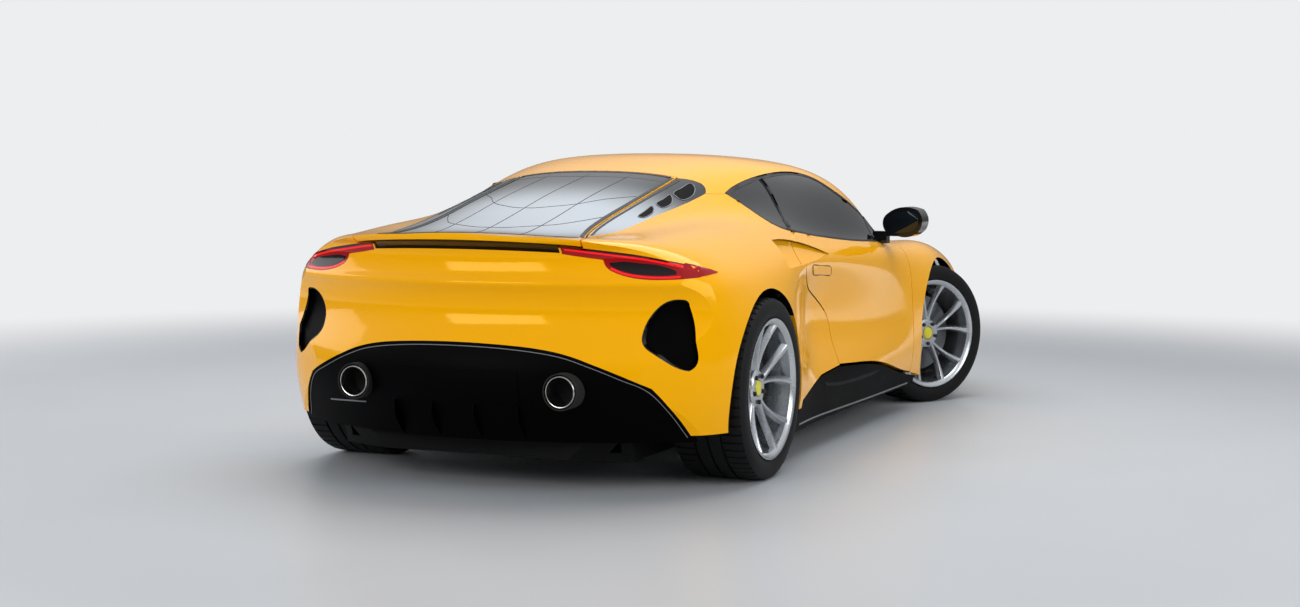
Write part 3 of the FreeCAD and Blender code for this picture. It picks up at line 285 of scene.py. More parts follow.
# Yellow-green lacquered cap of the wheel.
CAP_PAINT = Finish("polyamide_cap_lacquered", "#D9CF2A", 0.25, coat=0.3, coat_roughness=0.05)
# Stainless steel tube, brushed.
STEEL = Finish("stainless_steel_brushed", "#B8B5AF", 0.22, metallic=1.0, grain=Grain.TURNED, grain_mm=1.5,
               relief_mm=0.01)
# Exhaust tip, heat-blackened outside and sooted inside.
SOOT = Finish("stainless_steel_sooted", "#0B0A0A", 0.85, grain=Grain.CAST, grain_mm=2.0, relief_mm=0.03)
# Black soft-touch interior.
SOFT_TRIM = Finish("polyurethane_soft_trim", "#17171A", 0.6, grain=Grain.HIDE, grain_mm=1.6, relief_mm=0.08)
# Black hide: fine pores, soft sheen.
LEATHER = Finish("leather_tanned_black", "#1B1A1B", 0.48, grain=Grain.HIDE, grain_mm=2.2, relief_mm=0.12)
# Grey painted highlight along the edges of black moulded parts, with their moulded grain.
PAINTED_EDGE_HIGHLIGHT = Finish("painted_edge_highlight_grey", "#6C6F72", 0.4, grain=Grain.MOULDED, grain_mm=1.2,
                   relief_mm=0.02)
# Display glass of the dashboard, off.
DISPLAY = Finish("display_glass_off", "#08090B", 0.05, coat=1.0, blotch=0.01)

NODE_FINISHES: dict[Finish, tuple[str, ...]] = {
    PAINT: ("roof_frame", "front_clam", "rear_clam", "bonnet", "tailgate", "door_left", "door_right"),
    TINTED_GLASS: ("windscreen", "door_glass_left", "door_glass_right", "quarter_glass"),
    PAINTED_REFLECTION_GLASS: ("rear_glass", "louvre_trims"),
    GLOSS_BLACK: ("lamp_band", "mirror_left", "mirror_right"),
    SATIN_BLACK: ("vent_inserts", "front_grille", "front_splitter", "rear_diffuser", "sill_blades"),
    RED_LENS: ("tail_lamps",),
    CLEAR_LENS: ("headlamps",),
    SOOT: ("exhaust_tips",),
    RUBBER: ("tyre_front_left", "tyre_front_right", "tyre_rear_left", "tyre_rear_right"),
    SILVER: ("rim_front_left", "rim_front_right", "rim_rear_left", "rim_rear_right"),
    CAST_IRON: ("disc_front_left", "disc_front_right", "disc_rear_left", "disc_rear_right"),
    FORGED: ("knuckle_front_left", "knuckle_front_right", "rear_uprights", "suspension_arms"),
    E_COAT: ("floor_tub", "bulkheads", "front_frame", "rear_frame", "engine_block"),
    SOFT_TRIM: ("dashboard", "centre_console", "steering_wheel"),
    LEATHER: ("seats",),
}


@dataclass
class Studio:
    """Floor, lamps, world and the camera of the photograph."""

    eye: Vector = field(default_factory=lambda: Vector((-8.1371, -3.3117, 1.2115)))
    yaw: float = 0.40346
    pitch: float = -0.07669
    roll: float = 0.00219
    lens_mm: float = 52.963
    sensor_mm: float = 36.0
    floor_radius: float = 16.0
    floor_clear: float = 3.6
    floor_gone: float = 7.5
    floor_roughness: tuple[float, float] = (0.32, 0.48)
    floor_clouds: float = 1.4
    ambient: float = 0.42
    ambient_colour: str = "#F0F2F6"
    room_colour: str = "#F2F4F7"
    room_wall: float = 0.22
    room_ceiling: float = 0.95
    ceiling_edge: float = 0.55
    background: str = "#EDEEF0"
    floor_colour: str = "#BFC3C7"

    def build(self) -> None:
        """Makes everything round the car."""
        bpy.context.scene.view_settings.view_transform = "Standard"
        self.camera()
        self.floor()
        self.world()
        self.lamps()

    def camera(self) -> None:
        """Places the camera that was fitted to the photograph."""
        data = bpy.data.cameras.new("photo_camera")
        data.lens = self.lens_mm
        data.sensor_width = self.sensor_mm
        camera = bpy.data.objects.new("photo_camera", data)
        bpy.context.scene.collection.objects.link(camera)
        ahead = Vector((math.cos(self.yaw) * math.cos(self.pitch), math.sin(self.yaw) * math.cos(self.pitch),
                        math.sin(self.pitch)))
        level = Vector((math.sin(self.yaw), -math.cos(self.yaw), 0.0))
        over = level.cross(ahead)
        right = level * math.cos(self.roll) + over * math.sin(self.roll)
        upward = over * math.cos(self.roll) - level * math.sin(self.roll)
        turn = Matrix((right, upward, -ahead)).transposed()
        camera.matrix_world = Matrix.Translation(self.eye) @ turn.to_4x4()
        bpy.context.scene.camera = camera

    def floor(self) -> None:
        """Makes the pale polished floor, which melts into the background far from the car."""
        mesh = bpy.data.meshes.new("floor")
        bm = bmesh.new()
        bmesh.ops.create_circle(bm, cap_ends=True, segments=96, radius=self.floor_radius)
        bm.to_mesh(mesh)
        bm.free()
        floor = bpy.data.objects.new("floor", mesh)
        bpy.context.scene.collection.objects.link(floor)
        made = bpy.data.materials.new("sealed_concrete_polished")
        made.use_nodes = True
        tree = made.node_tree
        tree.nodes.clear()
        place = add_node(tree, "ShaderNodeTexCoord")
        reach = add_node(tree, "ShaderNodeVectorMath", links={0: place.outputs["Object"]}, operation="LENGTH")
        fade = add_node(tree, "ShaderNodeMapRange", {
            "From Min": self.floor_clear, "From Max": self.floor_gone}, {"Value": reach.outputs["Value"]},
            interpolation_type="SMOOTHSTEP")
        cloud = add_node(tree, "ShaderNodeTexNoise", {"Scale": self.floor_clouds, "Detail": 6.0},
                         {"Vector": place.outputs["Object"]})
        smooth, rough = self.floor_roughness
        gloss = add_node(tree, "ShaderNodeMapRange", {"To Min": smooth, "To Max": rough},
                         {"Value": cloud.outputs["Fac"]})
        stone = add_node(tree, "ShaderNodeBsdfPrincipled", {
            "Base Color": linear(self.floor_colour), "IOR": 1.5}, {"Roughness": gloss.outputs["Result"]})
        glow = add_node(tree, "ShaderNodeEmission", {"Color": linear(self.background)})
        mix = add_node(tree, "ShaderNodeMixShader", links={
            0: fade.outputs["Result"], 1: stone.outputs["BSDF"], 2: glow.outputs["Emission"]})
        add_node(tree, "ShaderNodeOutputMaterial", links={"Surface": mix.outputs["Shader"]})
        mesh.materials.append(made)

    def world(self) -> None:
        """Lights the car evenly, shows a pale background, and mirrors a room with a bright ceiling."""
        world = bpy.data.worlds.new("studio")
        bpy.context.scene.world = world
        world.use_nodes = True
        tree = world.node_tree
        tree.nodes.clear()
        ray = add_node(tree, "ShaderNodeLightPath")
        seen = add_node(tree, "ShaderNodeMath", links={
            0: ray.outputs["Is Camera Ray"], 1: ray.outputs["Is Transmission Ray"]}, operation="ADD",
            use_clamp=True)
        place = add_node(tree, "ShaderNodeTexCoord")
        parts = add_node(tree, "ShaderNodeSeparateXYZ", links={0: place.outputs["Generated"]})
        height = add_node(tree, "ShaderNodeMapRange", {
            "From Min": 0.0, "From Max": self.ceiling_edge, "To Min": self.room_wall,
            "To Max": self.room_ceiling}, {"Value": parts.outputs["Z"]}, interpolation_type="SMOOTHSTEP")
        ambient = add_node(tree, "ShaderNodeBackground", {
            "Color": linear(self.ambient_colour), "Strength": self.ambient})
        room = add_node(tree, "ShaderNodeBackground", {"Color": linear(self.room_colour)},
                        {"Strength": height.outputs["Result"]})
        pale = add_node(tree, "ShaderNodeBackground", {"Color": linear(self.background), "Strength": 1.0})
        mirrored = add_node(tree, "ShaderNodeMixShader", links={
            0: ray.outputs["Is Glossy Ray"], 1: ambient.outputs["Background"], 2: room.outputs["Background"]})
        mix = add_node(tree, "ShaderNodeMixShader", links={
            0: seen.outputs["Value"], 1: mirrored.outputs["Shader"], 2: pale.outputs["Background"]})
        add_node(tree, "ShaderNodeOutputWorld", links={"Surface": mix.outputs["Shader"]})

    def lamps(self) -> None:
        """Hangs a long softbox over the car, one at each side and one behind."""
        for name, place, aim, size, power in (
                ("softbox_over", (0.3, 0.0, 4.6), (0.0, 0.0, 0.0), (6.0, 3.0), 190.0),
                ("softbox_right", (-2.5, -6.0, 2.6), (0.0, 0.0, 0.6), (5.0, 2.2), 130.0),
                ("softbox_left", (-1.0, 6.0, 2.6), (0.0, 0.0, 0.6), (5.0, 2.2), 60.0),
                ("softbox_rear", (-7.5, 1.5, 2.8), (-1.0, 0.0, 0.6), (4.0, 2.0), 125.0)):
            data = bpy.data.lights.new(name, "AREA")
            data.shape = "RECTANGLE"
            data.size, data.size_y = size
            data.energy = power
            lamp = bpy.data.objects.new(name, data)
            bpy.context.scene.collection.objects.link(lamp)
            way = Vector(aim) - Vector(place)
            lamp.matrix_world = Matrix.Translation(place) @ way.to_track_quat("-Z", "Y").to_matrix().to_4x4()


def dress(piece: bpy.types.Object, finish: Finish) -> None:
    """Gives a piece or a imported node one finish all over."""
    piece.data.materials.clear()
    piece.data.materials.append(finish.material())


def finished(name: str, bm: bmesh.types.BMesh, finish: Finish, body: str) -> bpy.types.Object:
    """Turns a worked mesh into a piece that rides on a body of the car.

    Args:
        name: name of the piece.
        bm: worked mesh, freed here.
        finish: what the piece is made of.
        body: body of the frame that carries it.

    Returns:
        The new object.
    """
    bmesh.ops.remove_doubles(bm, verts=bm.verts[:], dist=1e-6)
    bmesh.ops.recalc_face_normals(bm, faces=bm.faces[:])
    for edge in bm.edges:
        edge.smooth = edge.calc_face_angle(math.pi) < SHARP_EDGE
    for face in bm.faces:
        face.smooth = True
    mesh = bpy.data.meshes.new(name)
    bm.to_mesh(mesh)
    bm.free()
    piece = bpy.data.objects.new(name, mesh)
    bpy.context.scene.collection.objects.link(piece)
    dress(piece, finish)
    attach(piece, body)
    LOG.info("made %s, %d faces, on %s", name, len(mesh.polygons), body)
    return piece


def twin(bm: bmesh.types.BMesh) -> None:
    """Adds the mirror image on the other side of the car."""
    bmesh.ops.mirror(bm, geom=bm.verts[:] + bm.edges[:] + bm.faces[:], axis="Y", merge_dist=-1)


def other_side(bm: bmesh.types.BMesh) -> None:
    """Moves a mesh of the right side to the left."""
    bmesh.ops.scale(bm, vec=(1, -1, 1), verts=bm.verts[:])


def mirrored(name: str, bm: bmesh.types.BMesh, finish: Finish, slot: str = "black_trim",
             body: str = "body") -> None:
    """Finishes a piece of the right side and its mirror image on the left as one piece.

    Args:
        name: name of the piece.
        bm: worked mesh of the right side.
        finish: what the piece is made of.
        slot: not used.
        body: body of the frame that carries it.
    """
    twin(bm)
    finished(name, bm, finish, body)


def on_doors(*pieces: tuple[str, Callable[[], bmesh.types.BMesh], Finish, str]) -> None:
    """Makes pieces on the right door, and their mirror images on the left one.

    Args:
        pieces: name without its side, what makes the mesh of the right side, finish and material slot.
    """
    for side in ("right", "left"):
        for name, make, finish, slot in pieces:
            bm = make()
            if side == "left":
                other_side(bm)
            finished(f"{name}_{side}", bm, finish, f"door_{side}")


def lathe(profile: Drawn, along: Vector, out: Vector, steps: int) -> bmesh.types.BMesh:
    """Turns a closed profile about an axis through the origin.

    Args:
        profile: (radius, place along the axis) corners in mm.
        along: direction of the axis.
        out: direction in which the profile is drawn.
        steps: faces round the axis.

    Returns:
        The turned mesh.
    """
    bm = bmesh.new()
    verts = [bm.verts.new(out * (radius * MM) + along * (place * MM)) for radius, place in profile]
    for a, b in zip(verts, verts[1:] + verts[:1]):
        bm.edges.new((a, b))
    bmesh.ops.spin(bm, geom=bm.verts[:] + bm.edges[:], cent=(0, 0, 0), axis=along, dvec=(0, 0, 0),
                   angle=math.tau, steps=steps, use_merge=True, use_normal_flip=False, use_duplicate=False)
    return bm


def join(bm: bmesh.types.BMesh, other: bmesh.types.BMesh) -> None:
    """Adds one mesh to another and frees it."""
    carrier = bpy.data.meshes.new("carrier")
    other.to_mesh(carrier)
    other.free()
    bm.from_mesh(carrier)
    bpy.data.meshes.remove(carrier)


def lean_and_move(bm: bmesh.types.BMesh, verts: list[bmesh.types.BMVert], lean: float,
                  middle: tuple[float, float, float]) -> None:
    """Tilts a part of a mesh about the car's width and moves it to its place.

    Args:
        bm: mesh that holds the part.
        verts: vertices of the part.
        lean: tilt in degrees.
        middle: place in mm.
    """
    bmesh.ops.rotate(bm, cent=(0, 0, 0), matrix=Matrix.Rotation(math.radians(lean), 3, "Y"), verts=verts)
    bmesh.ops.translate(bm, vec=Vector(middle) * MM, verts=verts)


def smooth_path(points: Drawn, closed: bool = False, steps: int = 12) -> list[Vector]:
    """Runs a smooth line through a few drawn points.

    Args:
        points: drawn points in mm.
        closed: whether the line returns to its start.
        steps: how many pieces each span gets.

    Returns:
        Points of the line in mm.
    """
    knots = [Vector(p) for p in points]
    if len(knots) == 2:
        return [knots[0].lerp(knots[1], i / steps) for i in range(steps + 1)]
    if closed:
        ring = [knots[-1], *knots, knots[0], knots[1]]
    else:
        ring = [knots[0] * 2 - knots[1], *knots, knots[-1] * 2 - knots[-2]]
    line = []
    for before, a, b, after in zip(ring, ring[1:], ring[2:], ring[3:]):
        for i in range(steps):
            t = i / steps
            line.append(0.5 * (2 * a + (b - before) * t + (2 * before - 5 * a + 4 * b - after) * t * t
                               + (3 * a - before - 3 * b + after) * t ** 3))
    line.append(ring[-2])
    return line


def even(line: list[Vector], count: int) -> list[Vector]:
    """Spreads points evenly along a line.

    Args:
        line: points of the line.
        count: how many spans the result has.

    Returns:
        count + 1 points.
    """
    reach = [0.0]
    for a, b in zip(line, line[1:]):
        reach.append(reach[-1] + (b - a).length)
    spread = []
    span = 0
    for i in range(count + 1):
        wanted = reach[-1] * i / count
        while span < len(line) - 2 and reach[span + 1] < wanted:
            span += 1
        length = max(reach[span + 1] - reach[span], 1e-9)
        spread.append(line[span].lerp(line[span + 1], min((wanted - reach[span]) / length, 1.0)))
    return spread


class Way(Enum):
    """From where a piece is laid on the skin."""

    ABOVE = "down on it"
    RIGHT = "from the right side"
    BEHIND = "from behind"
    AHEAD = "from the front"


class Skin:
    """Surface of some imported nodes, on which thin pieces are laid.

    Attributes:
        bridge: how far beside a drawn point the skin is felt too, in mm, to find gaps between panels.
        fall: how far a point may lie below its neighbours, in mm, before it is raised to them.
        aside: how far above or beside the car's origin the rays start, in mm.
        along: how far behind or ahead of the car's origin the rays start, in mm.
    """

    bridge: float = 10.0
    fall: float = 8.0
    aside: float = 3000.0
    along: float = 4000.0

    def __init__(self, nodes: tuple[str, ...]) -> None:
        """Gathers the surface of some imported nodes.

        Args:
            nodes: names of the nodes.
        """
        points: list[Vector] = []
        faces: list[tuple[int, ...]] = []
        for name in nodes:
            mesh = frame["nodes"][name].data
            first = len(points)
            points += [v.co.copy() for v in mesh.vertices]
            faces += [tuple(first + i for i in p.vertices) for p in mesh.polygons]
        self.tree = BVHTree.FromPolygons(points, faces)

    def touch(self, way: Way, a: float, b: float) -> tuple[Vector, Vector]:
        """Finds where a drawn point lies on the skin, bridging the gaps between its pieces.

        Args:
            way: from where the skin is looked at.
            a: first drawn coordinate in mm.
            b: second drawn coordinate in mm.

        Returns:
            Point on the skin in metres and the direction out of it.
        """
        start, run, over, up = {
            Way.ABOVE: (Vector((a, b, self.aside)), -Z_AXIS, X_AXIS, Y_AXIS),
            Way.RIGHT: (Vector((a, -self.aside, b)), Y_AXIS, X_AXIS, Z_AXIS),
            Way.BEHIND: (Vector((-self.along, a, b)), X_AXIS, Y_AXIS, Z_AXIS),
            Way.AHEAD: (Vector((self.along, a, b)), -X_AXIS, Y_AXIS, Z_AXIS),
        }[way]
        place, normal, _, _ = self.tree.ray_cast(start * MM, run)
        around = [[self.tree.ray_cast((start + beside * self.bridge * s) * MM, run) for s in (-1, 1)]
                  for beside in (over, up)]
        seen = [side for sides in around for side in sides if side[0] is not None]
        if place is None and seen:
            level = min(side[0].dot(run) for side in seen)
            place, normal = start * MM + run * (level - (start * MM).dot(run)), seen[0][1]
        elif place is None:
            place, normal, _, _ = self.tree.find_nearest(start * MM + run * 3.0)
        for sides in around:
            if any(side[0] is None for side in sides):
                continue
            level = sum(side[0].dot(run) for side in sides) / 2
            if place.dot(run) > level + self.fall * MM:
                place = place + run * (level - place.dot(run))
                normal = sides[0][1]
        return place, normal if normal.dot(run) < 0 else -normal

    def lay(self, near: Drawn, far: Drawn, way: Way, lift: float = 0.3, thick: float = 1.0, cols: int = 40,
            rows: int = 1, closed: bool = False) -> bmesh.types.BMesh:
        """Lays a thin plate on the skin between two drawn lines.

        Args:
            near: points of one edge in mm.
            far: points of the other edge in mm.
            way: from where the lines are drawn.
            lift: gap under the plate in mm.
            thick: thickness of the plate in mm.
            cols: faces along the plate.
            rows: faces across the plate.
            closed: whether the plate is a ring.

        Returns:
            The plate as a closed mesh.
        """
        near_line = even(smooth_path(near, closed), cols)
        far_line = even(smooth_path(far, closed), cols)
        bm = bmesh.new()
        bmesh.ops.create_grid(bm, x_segments=cols, y_segments=rows, size=0.5)
        outward = Vector()
        for vert in bm.verts:
            col = round((vert.co.x + 0.5) * cols)
            spot = near_line[col].lerp(far_line[col], vert.co.y + 0.5)
            place, normal = self.touch(way, spot.x, spot.y)
            vert.co = place + normal * (lift + thick) * MM
            outward += normal
        bm.normal_update()
        if sum((f.normal for f in bm.faces), Vector()).dot(outward) < 0:
            bmesh.ops.reverse_faces(bm, faces=bm.faces[:])
        bmesh.ops.solidify(bm, geom=bm.faces[:], thickness=thick * MM)
        return bm

    def line(self, path: Drawn, width: float, way: Way, closed: bool = False,
             **sizes: float) -> bmesh.types.BMesh:
        """Lays a thin band on the skin along a drawn line.

        Args:
            path: points of the line in mm.
            width: width of the band in mm.
            way: from where the line is drawn.
            closed: whether the band is a ring.
            sizes: lift, thickness and faces, as for a plate.

        Returns:
            The band as a closed mesh.
        """
        line = smooth_path(path, closed, 4)
        near, far = [], []
        for i, spot in enumerate(line):
            if closed:
                run = line[(i + 1) % (len(line) - 1)] - line[i - 1 if i else -2]
            else:
                run = line[min(i + 1, len(line) - 1)] - line[max(i - 1, 0)]
            over = Vector((-run.y, run.x)).normalized() * width / 2
            near.append(tuple(spot - over))
            far.append(tuple(spot + over))
        if closed:
            near, far = near[:-1], far[:-1]
        return self.lay(near, far, way, closed=closed, **sizes)


OUTER_SKIN = ("roof_frame", "front_clam", "rear_clam", "bonnet", "tailgate", "door_left", "door_right",
              "windscreen", "rear_glass", "door_glass_left", "door_glass_right", "quarter_glass",
              "louvre_trims", "tail_lamps", "lamp_band", "headlamps")


@dataclass
class Wheel:
    """One wheel: tyre with tread, silver rim with five pairs of spokes, bolts and bare yellow cap."""

    end: str
    side: str
    tyre_radius: float
    tyre_width: float
    dish: float
    seat: float = 254.0
    flange: float = 266.0
    barrel: float = 242.0
    groove_depth: float = 7.0
    groove_share: float = 0.36
    pitches: int = 240
    spoke_pairs: int = 5
    bolt_circle: float = 52.0
    spoke_foot: float = 46.0
    spoke_turn: tuple[float, float] = (3.5, 17.5)
    spoke_half_width: float = 17.0
    spoke_depth: float = 30.0
    block_every: int = 4
    sipe_width: float = 1.6
    sipe_depth: float = 4.0
    face_inset: float = 2.0

    @property
    def corner(self) -> str:
        """Which wheel this is, as names of pieces and bodies say it."""
        return f"{self.end}_{self.side}"

    @property
    def face_y(self) -> float:
        """How far the rim's outer face lies from the middle of the wheel."""
        return self.tyre_width / 2 - self.face_inset

    def place(self, bm: bmesh.types.BMesh) -> None:
        """Turns and moves a mesh from the wheel's own frame to its place on the car."""
        joint = next(j for j in frame["joints"] if j["name"] == f"wheel_{self.corner}_spin")
        outward = Vector(joint["axis"]) * (1 if self.side == "left" else -1)
        turn = Matrix((outward.cross(Z_AXIS), outward, Z_AXIS)).transposed()
        bmesh.ops.transform(bm, matrix=Matrix.Translation(joint["pos_m"]) @ turn.to_4x4(), verts=bm.verts[:])

    def spun(self, profile: Drawn, steps: int) -> bmesh.types.BMesh:
        """Turns a closed profile of (radius, width) corners about the axle."""
        return lathe(profile, Y_AXIS, X_AXIS, steps)

    def tyre(self) -> None:
        """Makes the tyre: bulged sidewalls, rounded shoulders, three grooves and sipes."""
        r, w = self.tyre_radius, self.tyre_width / 2
        half = [(self.flange - 9, w - 13), (self.flange - 1, w - 15.5), (self.flange + 2, w - 10),
                (self.flange + 7, w - 4), (self.flange + 20, w - 1), (self.flange + 34, w),
                (self.flange + 46, w - 1.5), (r - 15, w - 6), (r - 6, w - 12), (r - 1.5, w - 22)]
        groove, floor = self.groove_share * w, r - self.groove_depth
        tread = [(r, w - 34), (r, groove + 5), (floor, groove + 4), (floor, groove - 4), (r, groove - 5),
                 (r, 5), (floor, 4)]
        outer = half + tread
        bm = self.spun(outer + [(a, -b) for a, b in reversed(outer)], self.pitches)
        blocks = []
        for face in bm.faces:
            spot = face.calc_center_median()
            reach = math.hypot(spot.x, spot.z) / MM
            turn = round(math.atan2(spot.z, spot.x) / math.tau * self.pitches - 0.5)
            if reach > r - 4 and abs(spot.y) / MM > groove + 6 and turn % self.block_every == 0:
                blocks.append(face)
        bmesh.ops.inset_individual(bm, faces=blocks, thickness=self.sipe_width * MM,
                                   depth=-self.sipe_depth * MM)
        self.place(bm)
        tyre = finished(f"tyre_moulded_{self.corner}", bm, RUBBER, f"wheel_{self.corner}")
        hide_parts(f"tyre_{self.corner}")

    def spoke(self, bm: bmesh.types.BMesh, lean: int) -> None:
        """Adds one spoke: ridged in the middle, thin in the waist, wider at the rim.

        Args:
            bm: mesh that gets the spoke.
            lean: -1 or 1, to which side of its pair it runs.
        """
        grown = bmesh.ops.create_grid(bm, x_segments=10, y_segments=4, size=0.5)["verts"]
        bm.normal_update()
        faces = list({f for v in grown for f in v.link_faces})
        back = bmesh.ops.extrude_face_region(bm, geom=faces)["geom"]
        behind = [g for g in back if isinstance(g, bmesh.types.BMVert)]
        start, end = (math.radians(turn) * lean for turn in self.spoke_turn)
        for vert in set(grown) | set(behind):
            t, v = vert.co.x + 0.5, vert.co.y * 2
            reach = self.spoke_foot + (self.barrel + 3 - self.spoke_foot) * t
            angle = start + (end - start) * t ** 0.85
            waist = 5.5 * math.sin(math.pi * min(t * 1.15, 1))
            half_width = self.spoke_half_width - waist + 3 * max(t - 0.75, 0) / 0.25
            front = self.face_y - self.dish + (self.dish - 11) * t ** 1.7
            depth = self.spoke_depth - 9 * t
            side = v * half_width * (0.72 if abs(v) > 0.9 else 0.86)
            crown = 0.0 if abs(v) < 0.1 else (1.5 if abs(v) < 0.6 else 8.0)
            level = front - crown
            if vert in behind:
                level = front - depth
                side = v * half_width
            vert.co = Vector((reach * math.sin(angle) + side * math.cos(angle), level,
                              reach * math.cos(angle) - side * math.sin(angle))) * MM

    def rim(self) -> None:
        """Makes the rim: rolled barrel, ten spokes in five pairs and the hub face."""
        w, flange, inner = self.face_y, self.flange, self.barrel
        barrel = self.spun([
            (flange, w - 1), (flange - 2, w), (flange - 6, w - 1), (inner + 8, w - 7), (inner + 1, w - 16),
            (inner, w - 40), (inner - 6, w - 70), (inner - 6, -w + 40), (inner + 2, -w + 10),
            (flange - 3, -w + 1), (flange, -w + 2), (flange, -w + 9), (self.seat, -w + 13),
            (self.seat, w - 14), (flange, w - 9)], 96)
        spokes = bmesh.new()
        for lean in (-1, 1):
            self.spoke(spokes, lean)
        pair = spokes.verts[:] + spokes.edges[:] + spokes.faces[:]
        for count in range(1, self.spoke_pairs):
            copy = bmesh.ops.duplicate(spokes, geom=pair)["geom"]
            turn = Matrix.Rotation(math.tau * count / self.spoke_pairs, 3, "Y")
            bmesh.ops.rotate(spokes, cent=(0, 0, 0), matrix=turn,
                             verts=[g for g in copy if isinstance(g, bmesh.types.BMVert)])
        face = w - self.dish
        hub = self.spun([(29, 30), (29, face - 6), (33, face - 2), (33, face + 2), (62, face + 3),
                         (71, face - 4), (73, face - 22), (73, 30)], 60)
        join(barrel, spokes)
        join(barrel, hub)
        self.place(barrel)
        rim = finished(f"rim_cast_{self.corner}", barrel, SILVER, f"wheel_{self.corner}")
        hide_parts(f"rim_{self.corner}")

    def trim(self) -> None:
        """Makes the bolts and the bare yellow cap."""
        face = self.face_y - self.dish
        cap = self.spun([(0.5, face + 9), (18, face + 8.4), (27, face + 6), (30, face + 2), (30, face - 6),
                         (0.5, face - 6)], 48)
        self.place(cap)
        finished(f"wheel_cap_{self.corner}", cap, CAP_PAINT, f"wheel_{self.corner}")
        bolts = bmesh.new()
        for count in range(self.spoke_pairs):
            angle = math.tau * (count + 0.5) / self.spoke_pairs
            spot = Matrix.Translation(Vector((math.sin(angle) * self.bolt_circle, face + 5,
                                              math.cos(angle) * self.bolt_circle)) * MM)
            bmesh.ops.create_cone(bolts, cap_ends=True, segments=6, radius1=9.5 * MM, radius2=8.5 * MM,
                                  depth=14 * MM, matrix=spot @ Matrix.Rotation(-math.pi / 2, 4, "X"))
        self.place(bolts)
        finished(f"wheel_bolts_{self.corner}", bolts, FORGED, f"wheel_{self.corner}")

    def build(self) -> None:
        """Makes every piece of the wheel."""
        self.tyre()
        self.rim()
        self.trim()


